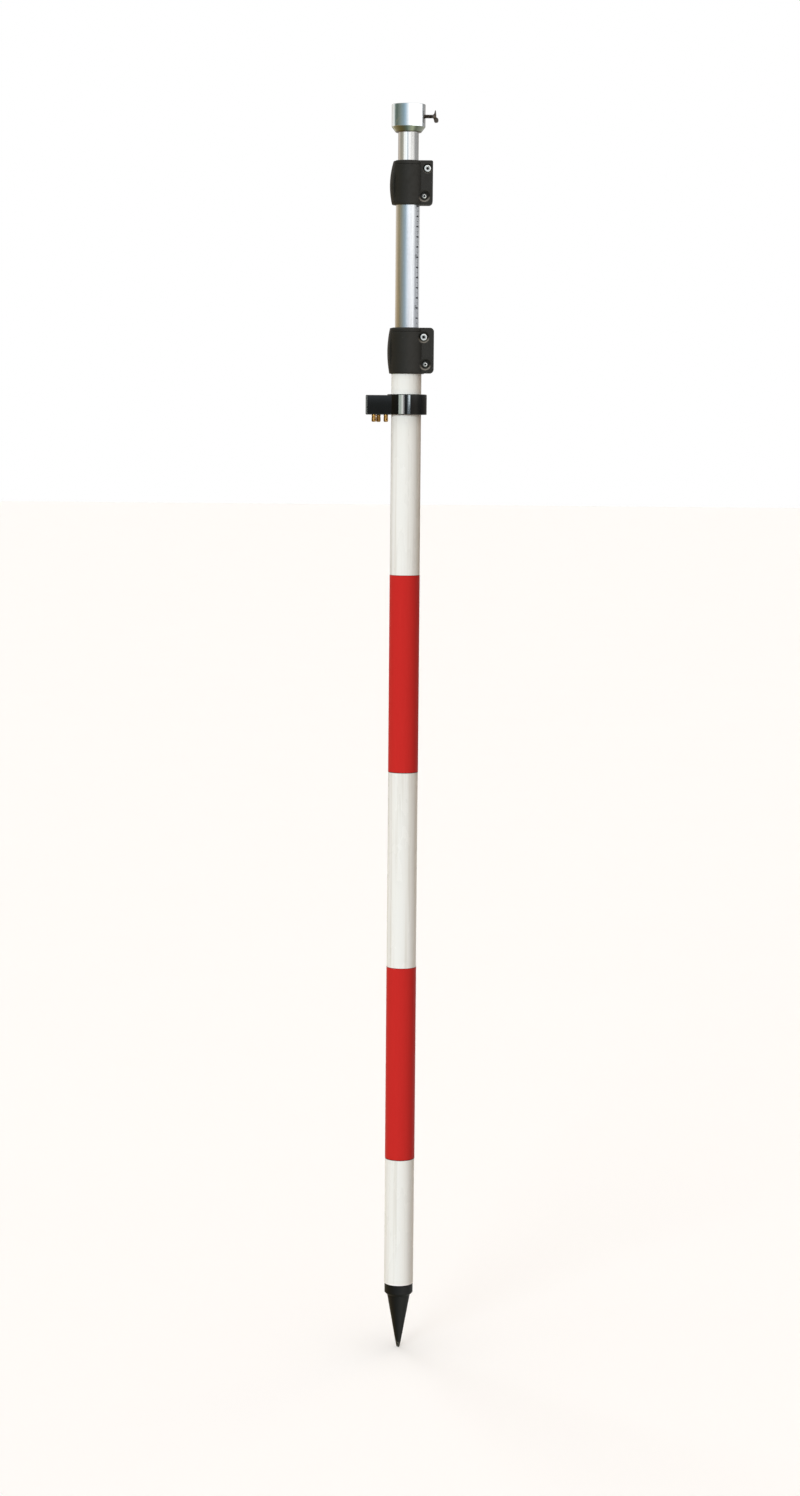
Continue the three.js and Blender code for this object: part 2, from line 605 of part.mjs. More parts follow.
const level = new THREE.Group();
level.add(
  piece('level_bracket', 'plastic_gloss', levelBracket()),
  piece('level_clamp_screw', 'steel', levelClampScrew()),
  piece('level_cup', 'aluminium', levelCup()),
  piece('level_vial', 'glass', levelVial()),
  piece('level_liquid', 'liquid', levelLiquid()),
  piece('level_bezel', 'aluminium', levelBezel()),
  piece('level_rubber_ring', 'rubber', levelRubberRing()),
);
levelScrewPlaces().forEach(([x, y], index) => {
  const screw = piece(`level_screw_${index + 1}`, 'brass', levelScrew());
  screw.position.set(x, y, 0);
  level.add(screw);
});
pole.add(level);

export default pole;
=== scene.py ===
import math

import bmesh
import bpy
from mathutils import Matrix, Vector


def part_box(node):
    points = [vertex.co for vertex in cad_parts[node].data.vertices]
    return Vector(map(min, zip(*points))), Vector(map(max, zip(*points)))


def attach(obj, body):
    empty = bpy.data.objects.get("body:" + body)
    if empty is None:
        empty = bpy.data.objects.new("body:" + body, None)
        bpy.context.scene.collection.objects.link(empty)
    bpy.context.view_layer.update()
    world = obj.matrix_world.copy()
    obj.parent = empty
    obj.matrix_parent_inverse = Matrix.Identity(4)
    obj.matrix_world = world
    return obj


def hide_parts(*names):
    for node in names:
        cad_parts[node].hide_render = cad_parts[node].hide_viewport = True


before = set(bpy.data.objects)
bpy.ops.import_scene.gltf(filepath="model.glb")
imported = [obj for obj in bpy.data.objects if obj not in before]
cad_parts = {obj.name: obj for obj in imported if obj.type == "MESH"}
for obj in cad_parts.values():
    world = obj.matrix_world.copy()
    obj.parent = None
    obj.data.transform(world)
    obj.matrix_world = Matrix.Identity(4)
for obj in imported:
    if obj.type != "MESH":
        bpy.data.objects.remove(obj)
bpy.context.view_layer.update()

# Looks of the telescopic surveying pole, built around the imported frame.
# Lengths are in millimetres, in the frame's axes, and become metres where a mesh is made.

MM = 0.001
REACH = 80.0  # longer than any clamp, for cutting tools
PAST = 1.0  # how far a cutter stands past the face that it opens

TUBE_WALL = {"lower_tube": 1.5, "mid_tube": 1.0, "upper_tube": 1.2}
COLLAR_GAP = 0.1
EAR_FRONT, EAR_BACK, EAR_CORNER, SLIT = 10.5, 8.5, 4.0, 2.0
BOLT_RECESS, RECESS_DEPTH, RECESS_FLARE = 4.1, 3.9, 1.4
CAM_SHANK, FIXING_SHANK = 2.0, 1.5  # M4 cap screws pull the levers, M3 button screws fix the clamps
GRIP_DEPTH, LIP = 21.8, 1.2
HUB_RADIUS, HUB_OFFSET = 4.9, 0.5
CLAMPS = {
    "lower": dict(
        body="lower_section", lever="lower_lever", sleeve="lower_sleeve", held="lower_tube",
        sliding="mid_tube", sleeve_outer=14.2, core=16.0, front=18.2, seam=59.5,
        lever_radii=(17.3, 19.4, 16.9), skirt=13.3, draw=0.7, ear_lift=0.8, ear_top_corner=4.0,
        bolts={"cam_bolt": (CAM_SHANK, 5.7), "fixing_bolt": (FIXING_SHANK, 5.7)},
    ),
    "upper": dict(
        body="mid_section", lever="upper_lever", sleeve="upper_sleeve", held="mid_tube",
        sliding="upper_tube", sleeve_outer=12.0, core=13.4, front=16.6, seam=52.5,
        lever_radii=(15.9, 18.1, 14.6), skirt=10.8, draw=0.4, ear_lift=0.0, ear_top_corner=1.5,
        bolts={"cam_bolt": (CAM_SHANK, 4.6), "fixing_bolt": (FIXING_SHANK, 5.7)},
    ),
}
LEVER_END = 205.0
CROSS_HOLE = 2.2  # of the cam bolt, through the barrel and the thrust plate
SCREW_PITCH, FINE_PITCH = 0.7, 0.5
# Heads of the clamp screws: (radius, depth below the front, rounding) from the rim inwards.
CAP_HEAD = [(3.4, 0, 0.5), (2.3, 0, 0.1), (1.95, 0.35)]
BUTTON_HEAD = [(2.8, 1.3, 0.3), (2.4, 0.55, 0.8), (1.6, 0, 1.2), (1.3, 0, 0.1), (1.15, 0.15)]
SOCKET_BORE, SOCKET_FLOOR, SOCKET_NECK, SOCKET_CHAMFER = 12.5, 18.9, 12.7, 5.4
CUP_RADIUS, VIAL_RADIUS = 9.9, 8.3
SCALE_ZERO, SCALE_TOP_READING, NUMERAL_STEP = 1066.0, 125, 50  # readings in cm, heights in mm
SCALE_ANGLE = {"mid_tube": 64.0, "upper_tube": 180.0}  # from the front towards the right
NUMERAL_ANGLE = {"mid_tube": 45.0, "upper_tube": 157.0}


# ---------------- mesh helpers

def span(node):
    """Lowest and highest corner of a CAD node, in millimetres."""
    low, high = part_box(node)
    return low / MM, high / MM


def middle(node):
    low, high = span(node)
    return (low + high) / 2


def in_scene(name, data):
    obj = bpy.data.objects.new(name, data)
    bpy.context.scene.collection.objects.link(obj)
    return obj


def make(name, points, faces):
    mesh = bpy.data.meshes.new(name)
    mesh.from_pydata([Vector(p) * MM for p in points], [], faces)
    return in_scene(name, mesh)


def fillet(corners, closed=False, steps=5):
    """Outline points; a corner given as (x, y, radius) is rounded by an arc."""
    points = []
    for i, corner in enumerate(corners):
        here = Vector(corner[:2])
        if len(corner) < 3 or not (closed or 0 < i < len(corners) - 1):
            points.append(here)
            continue
        before = Vector(corners[i - 1][:2]) - here
        after = Vector(corners[(i + 1) % len(corners)][:2]) - here
        half = before.angle(after) / 2
        reach = min(corner[2] / math.tan(half), 0.49 * before.length, 0.49 * after.length)
        inward = (before.normalized() + after.normalized()).normalized()
        centre = here + inward * reach / math.cos(half)
        first = here + before.normalized() * reach - centre
        last = here + after.normalized() * reach - centre
        start = math.atan2(first.y, first.x)
        sweep = (math.atan2(last.y, last.x) - start + math.pi) % math.tau - math.pi
        for k in range(steps + 1):
            angle = start + sweep * k / steps
            points.append(centre + first.length * Vector((math.cos(angle), math.sin(angle))))
    return points


def lathe(name, corners, segments=96, closed=False, steps=5):
    """Turned solid about Z. Its outline runs anticlockwise in (radius, height) and goes on to the axis."""
    if not closed:
        first, last = corners[0], corners[-1]
        start = [(0, first[1])] if first[0] else []
        end = [(0, last[1])] if last[0] else []
        corners = start + corners + end
    points, rings = [], []
    for radius, z in fillet(corners, closed, steps):
        count = segments if radius > 1e-6 else 1
        rings.append([len(points) + i for i in range(count)])
        for i in range(count):
            turn = math.tau * i / segments
            points.append((radius * math.sin(turn), -radius * math.cos(turn), z))
    faces = []
    for low, high in zip(rings, rings[1:] + (rings[:1] if closed else [])):
        for i in range(segments):
            j = (i + 1) % segments
            corners_of_face = (low[i % len(low)], low[j % len(low)], high[j % len(high)], high[i % len(high)])
            face = list(dict.fromkeys(corners_of_face))
            if len(face) > 2:
                faces.append(face)
    return make(name, points, faces)


def ring(name, outer, inner, bottom, top, edge=0.3, segments=96):
    corners = [(inner, bottom, edge), (outer, bottom, edge), (outer, top, edge), (inner, top, edge)]
    return lathe(name, corners, segments, closed=True)


def rod(name, radius, bottom, top, edge=0.3, segments=48):
    return lathe(name, [(radius, bottom, edge), (radius, top, edge)], segments)


def loft(name, loops):
    """Closed solid skinned over loops of equal length and capped at both ends."""
    count = len(loops[0])
    faces = [list(range(count))[::-1]]
    for level in range(len(loops) - 1):
        base = level * count
        for i in range(count):
            j = (i + 1) % count
            faces.append([base + i, base + j, base + count + j, base + count + i])
    faces.append([(len(loops) - 1) * count + i for i in range(count)])
    return make(name, [point for loop in loops for point in loop], faces)


def inset(outline, distance):
    """The same anticlockwise outline moved inwards."""
    moved = []
    for i, here in enumerate(outline):
        run = (outline[(i + 1) % len(outline)] - outline[i - 1]).normalized()
        moved.append(here + Vector((-run.y, run.x)) * distance)
    return moved


def edge_levels(bottom, top, edge, steps=3):
    """(height, inset) pairs that round the two ends of a prism."""
    turns = [math.pi / 2 * k / steps for k in range(steps + 1)] if edge else [math.pi / 2]
    low = [(edge * (1 - math.cos(a)), edge * (1 - math.sin(a))) for a in turns]
    if not edge:
        low = [(0.0, 0.0)]
    high = [(top - rise, back) for rise, back in reversed(low)]
    return [(bottom + rise, back) for rise, back in low] + high


def prism(name, outline, bottom, top, edge=0.0):
    """Upright solid over an anticlockwise outline, its end edges rounded."""
    loops = []
    for z, back in edge_levels(bottom, top, edge):
        loops.append([(p.x, p.y, z) for p in inset(outline, back)])
    return loft(name, loops)


def rectangle(left, right, bottom, top, radius, top_radius=None):
    high = radius if top_radius is None else top_radius
    corners = [(left, bottom, radius), (right, bottom, radius), (right, top, high), (left, top, high)]
    return fillet(corners, closed=True, steps=8)


def box(name, low, high):
    corners = ((low[0], low[1]), (high[0], low[1]), (high[0], high[1]), (low[0], high[1]))
    return prism(name, [Vector(corner) for corner in corners], low[2], high[2])


def hexagon(name, across_flats, bottom, top, edge=0.0):
    radius = across_flats / math.sqrt(3)
    turns = [math.tau * i / 6 for i in range(6)]
    corners = [(radius * math.cos(turn), radius * math.sin(turn), 0.15) for turn in turns]
    return prism(name, fillet(corners, closed=True, steps=2), bottom, top, edge)


def turned(obj, axis, degrees):
    obj.data.transform(Matrix.Rotation(math.radians(degrees), 4, axis))
    return obj


def facing_front(obj):
    """Lays a piece drawn on Z over, so that its top points to the front (-Y)."""
    return turned(obj, "X", 90)


def facing_right(obj):
    return turned(obj, "Y", 90)


def moved(obj, x=0.0, y=0.0, z=0.0):
    obj.data.transform(Matrix.Translation(Vector((x, y, z)) * MM))
    return obj


def across(obj, at):
    """Lays a piece drawn on Z over, onto the front-to-back axis through a place."""
    return moved(facing_front(obj), at.x, 0, at.z)


def orient(obj):
    """Turns every face outwards, as the booleans need."""
    work = bmesh.new()
    work.from_mesh(obj.data)
    bmesh.ops.recalc_face_normals(work, faces=work.faces)
    work.to_mesh(obj.data)
    work.free()
    return obj


def bake(obj):
    graph = bpy.context.evaluated_depsgraph_get()
    mesh = bpy.data.meshes.new_from_object(obj.evaluated_get(graph))
    obj.modifiers.clear()
    obj.data = mesh


def combine(operation, base, others):
    for other in others:
        modifier = base.modifiers.new(operation, "BOOLEAN")
        modifier.operation, modifier.solver, modifier.object = operation, "MANIFOLD", other
    bake(base)
    for other in others:
        bpy.data.objects.remove(other)
    return base


def cut(base, *others):
    return combine("DIFFERENCE", base, others)


def joined(base, *others):
    return combine("UNION", base, others)


def common(base, other):
    return combine("INTERSECT", base, [other])


def gather(name, objects):
    """Several closed meshes as one piece."""
    whole = bmesh.new()
    for obj in objects:
        whole.from_mesh(obj.data)
        bpy.data.objects.remove(obj)
    mesh = bpy.data.meshes.new(name)
    whole.to_mesh(mesh)
    whole.free()
    return in_scene(name, mesh)


def smooth(obj):
    """Cleans the mesh and shades it smooth, with sharp edges above an angle."""
    sharp = math.radians(32)
    work = bmesh.new()
    work.from_mesh(obj.data)
    bmesh.ops.remove_doubles(work, verts=work.verts, dist=2e-6)
    bmesh.ops.dissolve_degenerate(work, edges=work.edges, dist=1e-6)
    bmesh.ops.recalc_face_normals(work, faces=work.faces)
    for face in work.faces:
        face.smooth = True
    for edge in work.edges:
        edge.smooth = edge.is_manifold and edge.calc_face_angle(0.0) < sharp
    work.to_mesh(obj.data)
    work.free()
    weighting = obj.modifiers.new("weighted_normals", "WEIGHTED_NORMAL")
    weighting.keep_sharp = True


def threaded(name, radius, pitch, bottom, top, segments=40):
    """Rod with a right-hand thread that runs out at both ends."""
    depth = 0.5 * pitch
    levels = int((top - bottom) / pitch * 12)
    loops = []
    for level in range(levels + 1):
        z = bottom + (top - bottom) * level / levels
        fade = min(1.0, (z - bottom) / pitch + 0.4, (top - z) / pitch + 0.4)
        loop = []
        for i in range(segments):
            flank = abs(2 * ((z / pitch - i / segments) % 1.0) - 1)
            r = radius - depth * (1 - fade * (1 - min(1.0, 1.25 * flank)))
            turn = math.tau * i / segments
            loop.append((r * math.cos(turn), r * math.sin(turn), z))
        loops.append(loop)
    return loft(name, loops)


def around(angle, radius):
    """Point at a clamp angle: 0 is the front, 90 the left, 180 the back."""
    return Vector((-radius * math.sin(math.radians(angle)), -radius * math.cos(math.radians(angle))))


def piece(obj, body, slot, material, *nodes):
    """Smooths a finished mesh, gives it its material and its body, and hides the CAD nodes that it stands
    for.
    """
    smooth(obj)
    obj.data.materials.clear()
    obj.data.materials.append(material)
    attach(obj, body)
    if nodes:
        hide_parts(*nodes)


# ---------------- materials

def srgb(red, green, blue):
    def linear(value):
        value /= 255
        return value / 12.92 if value <= 0.04045 else ((value + 0.055) / 1.055) ** 2.4
    return (linear(red), linear(green), linear(blue), 1.0)


INK_BLACK = (16, 17, 20)


class Graph:
    """Short ways to add nodes to the tree of a material or of the world."""

    def __init__(self, tree, coordinates):
        self.tree = tree
        self.coordinates = self.node("ShaderNodeTexCoord").outputs[coordinates]

    def node(self, kind, **settings):
        made = self.tree.nodes.new(kind)
        for setting, value in settings.items():
            setattr(made, setting, value)
        return made

    def put(self, socket, value):
        if isinstance(value, bpy.types.NodeSocket):
            self.tree.links.new(value, socket)
        else:
            socket.default_value = value

    def axis(self, name):
        split = self.node("ShaderNodeSeparateXYZ")
        self.put(split.inputs[0], self.coordinates)
        return split.outputs[name]

    def math(self, operation, first, second=0.0):
        made = self.node("ShaderNodeMath", operation=operation)
        self.put(made.inputs[0], first)
        self.put(made.inputs[1], second)
        return made.outputs[0]

    def product(self, first, second):
        return self.math("MULTIPLY", first, second)

    def bearing(self):
        """Angle round the pole in radians, 0 at the front and growing to the right."""
        return self.math("ARCTAN2", self.axis("X"), self.product(self.axis("Y"), -1.0))

    def span(self, value, low, high, to_low=0.0, to_high=1.0):
        """Soft step between two values."""
        made = self.node("ShaderNodeMapRange", interpolation_type="SMOOTHSTEP")
        for socket, number in zip(made.inputs, (value, low, high, to_low, to_high)):
            self.put(socket, number)
        return made.outputs[0]

    def mix(self, factor, first, second, blend="MIX"):
        made = self.node("ShaderNodeMix", data_type="RGBA", blend_type=blend)
        self.put(made.inputs[0], factor)
        self.put(made.inputs[6], first)
        self.put(made.inputs[7], second)
        return made.outputs[2]


class Finish(Graph):
    """One Principled material. Its colours are given as sRGB values from 0 to 255."""

    def __init__(self, name, color, roughness, metallic=0.0, **constants):
        self.material = bpy.data.materials.new(name)
        self.material.use_nodes = True
        super().__init__(self.material.node_tree, "Object")
        self.shader = self.tree.nodes["Principled BSDF"]
        self.color = srgb(*color)
        self.roughness = roughness
        self.bump = None
        self.shader.inputs["Base Color"].default_value = self.color
        self.shader.inputs["Roughness"].default_value = roughness
        self.shader.inputs["Metallic"].default_value = metallic
        for socket, value in constants.items():
            self.shader.inputs[socket.replace("_", " ")].default_value = value

    def pattern(self, kind, stretch, offset=0.0, **inputs):
        """Texture node on stretched and offset coordinates."""
        mapping = self.node("ShaderNodeMapping")
        self.put(mapping.inputs["Vector"], self.coordinates)
        mapping.inputs["Scale"].default_value = stretch
        mapping.inputs["Location"].default_value = (offset, offset, offset)
        made = self.node(kind)
        self.put(made.inputs["Vector"], mapping.outputs[0])
        for name, value in inputs.items():
            made.inputs[name].default_value = value
        return made

    def noise(self, scale, stretch=(1, 1, 1), detail=4.0, offset=0.0):
        """Noise whose features are about 1000 / scale millimetres, stretched along an axis."""
        stretch = [scale * s for s in stretch]
        values = {"Scale": 1.0, "Detail": detail, "Roughness": 0.55}
        return self.pattern("ShaderNodeTexNoise", stretch, offset, **values).outputs[0]

    def cells(self, scale):
        return self.pattern("ShaderNodeTexVoronoi", (1, 1, 1), Scale=scale).outputs["Distance"]

    def paint(self, factor, other):
        """Blends another colour over what is there, by the factor."""
        self.color = self.mix(factor, self.color, srgb(*other))
        self.put(self.shader.inputs["Base Color"], self.color)

    def tint(self, value, low, high, amount, other):
        """Blends in up to this amount of another colour as the value rises from low to high."""
        self.paint(self.span(value, low, high, 0.0, amount), other)

    def polish(self, factor, other):
        """Blends another roughness over what is there, by the factor."""
        blend = self.node("ShaderNodeMix", data_type="FLOAT")
        self.put(blend.inputs[0], factor)
        self.put(blend.inputs[2], self.roughness)
        self.put(blend.inputs[3], other)
        self.roughness = blend.outputs[0]
        self.put(self.shader.inputs["Roughness"], self.roughness)

    def metal_where(self, factor):
        """Metal by the factor: 1 where it is bare, 0 on ink, paint and painted shade."""
        self.put(self.shader.inputs["Metallic"], factor)

    def relief(self, height, depth, strength=1.0):
        """Bump of the given depth in millimetres."""
        bump = self.node("ShaderNodeBump")
        bump.inputs["Strength"].default_value = strength
        bump.inputs["Distance"].default_value = depth * MM
        self.put(bump.inputs["Height"], height)
        if self.bump:
            self.put(bump.inputs["Normal"], self.bump)
        self.bump = bump.outputs[0]
        self.put(self.shader.inputs["Normal"], self.bump)


def enamel_white(bottom):
    f = Finish("white_enamel", (245, 243, 238), 0.26, Coat_Weight=0.5, Coat_Roughness=0.06)
    f.tint(f.noise(9, (1, 1, 0.4)), 0.4, 0.75, 0.3, (240, 235, 225))
    f.tint(f.noise(900, (1, 1, 0.03), 2), 0.5, 0.8, 0.15, (234, 229, 220))
    # painted reflection: long grey vertical streaks stand in for reflections in the gloss enamel
    f.tint(f.noise(230, (1, 1, 0.02), 2, offset=9.0), 0.48, 0.7, 0.6, (223, 217, 207))
    specks = f.span(f.cells(230), 0.05, 0.09, 1.0, 0.0)
    patches = f.span(f.noise(70, offset=3.0), 0.62, 0.7, 0.0, 0.25)
    f.paint(f.product(specks, patches), (150, 136, 116))
    # painted highlight: the lowest 2 mm of the white paint, just above the point, is painted brighter
    f.paint(f.span(f.axis("Z"), (bottom + 0.5) * MM, (bottom + 2.0) * MM, 1.0, 0.0), (255, 250, 247))
    f.polish(f.span(f.noise(60, (1, 1, 0.3), 6), 0.45, 0.7), 0.36)
    f.relief(f.noise(420, detail=1), 0.02, 0.5)
    f.relief(f.noise(1600, (1, 1, 0.05), 3), 0.004, 0.4)
    return f


def film_red(bottom, top):
    f = Finish("red_film", (201, 42, 38), 0.42, Specular_IOR_Level=0.15)
    f.tint(f.noise(9, (1, 1, 0.5)), 0.35, 0.75, 0.35, (194, 38, 37))
    f.tint(f.noise(700, (1, 1, 0.04), 3), 0.45, 0.8, 0.2, (210, 50, 44))
    height = f.axis("Z")
    low_edge = f.span(height, bottom * MM, (bottom + 1.3) * MM, 1.0, 0.0)
    high_edge = f.span(height, (top - 1.0) * MM, top * MM, 0.0, 0.8)
    f.paint(low_edge, (58, 20, 16))
    f.paint(high_edge, (104, 30, 34))
    f.polish(f.span(f.noise(120, detail=6), 0.5, 0.75), 0.5)
    f.relief(f.noise(1100, detail=3), 0.01, 0.4)
    return f


def powder_black():
    f = Finish("black_powder_coat", (14, 13, 11), 0.48, Specular_IOR_Level=0.3)
    grain = f.noise(1500, detail=3)
    f.tint(grain, 0.5, 0.75, 0.4, (26, 25, 22))
    worn_height = f.math("ADD", f.axis("Z"), f.span(f.noise(600, detail=5), 0.3, 0.7, -0.004, 0.004))
    worn = f.span(worn_height, 0.0015, 0.0045, 1.0, 0.0)
    f.paint(worn, (120, 116, 108))
    scratches = f.noise(500, (1, 1, 0.06), 5, offset=2.0)
    f.tint(scratches, 0.68, 0.74, 0.5, (54, 51, 45))
    f.polish(worn, 0.3)
    f.metal_where(worn)
    f.relief(grain, 0.05, 0.5)
    return f


def drawn_aluminium(node, color, roughness):
    """Bright drawn tube with a printed millimetre scale."""
    f = Finish(f"drawn_aluminium_{SCALE_ANGLE[node]:.0f}", color, roughness, 1.0)
    streaks = f.noise(2200, (1, 1, 0.008), 5)
    f.tint(streaks, 0.45, 0.8, 0.35, (196, 200, 206))
    f.tint(f.noise(25, (1, 1, 0.3)), 0.45, 0.8, 0.3, (206, 206, 202))
    f.polish(f.span(streaks, 0.4, 0.75), roughness + 0.09)
    f.relief(streaks, 0.006, 0.35)
    scuffs = f.span(f.noise(300, (0.5, 0.5, 3), 6, offset=5.0), 0.69, 0.74, 0.0, 0.6)
    f.polish(scuffs, 0.4)
    ink = scale_ink(f, SCALE_ANGLE[node], span(node)[1].x)
    f.paint(ink, INK_BLACK)
    f.polish(ink, 0.5)
    f.metal_where(f.math("SUBTRACT", 1.0, ink))
    return f


def scale_ink(f, angle, radius):
    """1 on the ink of a millimetre scale, whose marks run from the angle towards the front."""
    along = f.product(f.math("SUBTRACT", math.radians(angle), f.bearing()), radius)
    height = f.math("SUBTRACT", f.product(f.axis("Z"), 1 / MM), SCALE_ZERO)

    def marks(pitch, width, length):
        line = f.math("LESS_THAN", f.math("PINGPONG", height, pitch / 2), width / 2)
        inside = f.product(f.math("GREATER_THAN", along, 0.0), f.math("LESS_THAN", along, length))
        return f.product(line, inside)

    ink = f.math("MAXIMUM", marks(1.0, 0.42, 2.2), marks(5.0, 0.6, 2.9))
    return f.math("MAXIMUM", ink, marks(10.0, 1.3, 3.8))


def turned_aluminium(name, color, roughness, ring_depth):
    f = Finish(name, color, roughness, 1.0)
    rings = f.noise(2600, (0.004, 0.004, 1), 4)
    f.tint(rings, 0.45, 0.8, 0.4, (188, 193, 196))
    f.tint(f.noise(40), 0.5, 0.8, 0.25, (200, 200, 194))
    f.polish(f.span(f.noise(160, detail=6), 0.5, 0.75), roughness + 0.08)
    f.relief(rings, ring_depth, 0.4)
    return f


def socket_aluminium(bottom, shoulder):
    """Fine turned finish. The chamfer under the socket is painted darker as a painted dark reflection, and a
    line of painted shade runs round the socket's bottom edge.
    """
    f = turned_aluminium("socket_aluminium", (222, 226, 228), 0.1, 0.002)
    height = f.axis("Z")
    chamfer = f.span(height, (shoulder - 0.3) * MM, shoulder * MM, 1.0, 0.0)
    outside = f.span(height, (bottom - 1.0) * MM, (bottom - 0.5) * MM, 0.0, 1.0)
    # painted reflection: the downward chamfer is painted a darker grey-green for the dark it mirrors
    f.paint(f.product(chamfer, outside), (160, 165, 152))
    # painted shade: a dark brown line round the lowest millimetre of the socket, where it meets the tube
    foot_shade = f.span(height, (bottom + 0.3) * MM, (bottom + 1.1) * MM, 0.8, 0.0)
    f.paint(f.product(foot_shade, outside), (84, 66, 48))
    return f


def moulded_black(name, mouths=()):
    """Matte moulded nylon, with a lighter painted highlight on the lower side of each recess mouth (x, z,
    radius).
    """
    f = Finish(name, (31, 29, 25), 0.5, Specular_IOR_Level=0.4)
    grain = f.noise(2200, detail=2)
    f.tint(f.noise(60, detail=5), 0.45, 0.75, 0.4, (38, 36, 32))
    f.tint(grain, 0.55, 0.8, 0.3, (46, 44, 39))
    f.polish(f.span(f.noise(150, detail=6, offset=4.0), 0.45, 0.7), 0.62)
    f.relief(grain, 0.03, 0.6)
    scratches = f.noise(420, (0.08, 1, 1), 5, offset=7.0)
    f.tint(scratches, 0.7, 0.75, 0.4, (80, 76, 69))
    flare_end = RECESS_FLARE - EAR_FRONT
    flare = f.span(f.axis("Y"), (flare_end - 0.1) * MM, (flare_end + 0.1) * MM, 1.0, 0.0)
    for x, z, radius in mouths:
        sideways = f.math("SUBTRACT", f.axis("X"), x * MM)
        up = f.math("SUBTRACT", f.axis("Z"), z * MM)
        squares = f.math("ADD", f.product(sideways, sideways), f.product(up, up))
        away = f.math("SQRT", squares)
        near = f.span(away, (radius - 0.1) * MM, (radius + 0.3) * MM, 1.0, 0.0)
        below = f.span(up, -0.6 * radius * MM, 0.1 * radius * MM, 0.9, 0.0)
        # painted highlight: a lighter crescent on the lower side of the recess mouth's flare
        mouth_highlight = f.product(f.product(near, below), flare)
        f.paint(mouth_highlight, (118, 112, 103))
    return f


def gloss_black():
    f = Finish("gloss_black", (11, 12, 11), 0.05)
    f.tint(f.noise(50, detail=5), 0.45, 0.8, 0.5, (24, 24, 22))
    f.polish(f.span(f.noise(500, (1, 1, 0.1), 6), 0.55, 0.75), 0.09)
    f.relief(f.noise(90, detail=1), 0.03, 0.1)
    return f


def acetal():
    f = Finish("acetal", (228, 224, 212), 0.45, Subsurface_Weight=0.1)
    f.tint(f.noise(90, detail=5), 0.45, 0.8, 0.5, (214, 208, 192))
    f.relief(f.noise(1800, (0.01, 0.01, 1), 3), 0.02, 0.4)
    return f


def rubber():
    f = Finish("rubber", (30, 30, 30), 0.8)
    grain = f.noise(1400, detail=4)
    f.tint(grain, 0.5, 0.75, 0.5, (48, 48, 47))
    f.relief(grain, 0.05, 0.6)
    return f


def steel(name="zinc_steel", color=(206, 206, 200), dark=(128, 124, 116), roughness=0.22, stains=0.6):
    f = Finish(name, color, roughness, 1.0)
    f.tint(f.noise(420, detail=6), 0.5, 0.75, stains, dark)
    f.polish(f.span(f.noise(700, detail=5, offset=2.0), 0.45, 0.7), roughness + 0.2)
    f.relief(f.noise(2600, detail=3), 0.01, 0.5)
    return f


def screw_steel(name, front, stains):
    """Zinc plating, painted near black as shade where it lies deeper than the front of a screw head, inside
    its recess.
    """
    f = steel(name, (232, 232, 228), roughness=0.2, stains=stains)
    # painted shade: everything deeper than the head's front face is painted near black and rough
    recess_shade = f.span(f.axis("Y"), (0.9 - front) * MM, (0.35 - front) * MM, 1.0, 0.0)
    f.paint(recess_shade, (22, 21, 19))
    f.polish(recess_shade, 0.7)
    f.metal_where(f.math("SUBTRACT", 1.0, recess_shade))
    return f


def brass():
    f = Finish("turned_brass", (190, 148, 84), 0.16, 1.0)
    f.tint(f.noise(380, detail=5), 0.5, 0.75, 0.7, (120, 82, 38))
    rings = f.noise(3000, (0.01, 0.01, 1), 3)
    f.polish(f.span(rings, 0.45, 0.75), 0.34)
    f.relief(rings, 0.012, 0.5)
    return f


def vial_glass():
    f = Finish("vial_glass", (246, 252, 248), 0.02, IOR=1.45, Transmission_Weight=1.0)
    f.polish(f.span(f.noise(500, detail=6), 0.62, 0.72), 0.12)
    return f


def level_fluid():
    f = Finish("level_fluid", (196, 222, 84), 0.08, Coat_Weight=1.0, Coat_Roughness=0.02)
    f.tint(f.noise(120, detail=2), 0.4, 0.7, 1.0, (176, 206, 60))
    return f


def ink():
    f = Finish("printing_ink", INK_BLACK, 0.5)
    f.tint(f.noise(2500, detail=3), 0.5, 0.8, 0.5, (34, 35, 38))
    return f


WHITE = enamel_white(span("lower_tube")[0].z).material
POWDER = powder_black().material
MID_METAL = drawn_aluminium("mid_tube", (226, 229, 233), 0.17).material
UPPER_METAL = drawn_aluminium("upper_tube", (212, 211, 208), 0.09).material
SOCKET_BOTTOM = span("upper_tube")[1].z - 5.1
SOCKET_METAL = socket_aluminium(SOCKET_BOTTOM, SOCKET_BOTTOM + SOCKET_CHAMFER).material
CUP_METAL = turned_aluminium("level_aluminium", (206, 208, 208), 0.28, 0.008).material
MOULDED = moulded_black("lever_black").material
GLOSS = gloss_black().material
ACETAL = acetal().material
RUBBER = rubber().material
ZINC = steel().material
DULL_STEEL = steel("dull_nickel", (96, 86, 78), (44, 35, 30), 0.32).material
CAP_STEEL = screw_steel("cap_screw_steel", EAR_FRONT, 0.25).material
BUTTON_STEEL = screw_steel("button_screw_steel", EAR_FRONT - 1.5, 0.9).material
BRASS = brass().material
GLASS = vial_glass().material
FLUID = level_fluid().material
INK = ink().material


# ---------------- tubes, bands and point

def section_tube(node, body, slot, material):
    low, high = span(node)
    outer = high.x
    made = ring(f"{node}_skin", outer, outer - TUBE_WALL[node], low.z, high.z, 0.35, 128)
    piece(made, body, slot, material, node)


def red_bands():
    for node in ("red_band_lower", "red_band_upper"):
        low, high = span(node)
        film = ring(f"{node}_film", high.x, high.x - 0.17, low.z, high.z, 0.07, 128)
        piece(film, "lower_section", "red_film", film_red(low.z, high.z).material, node)


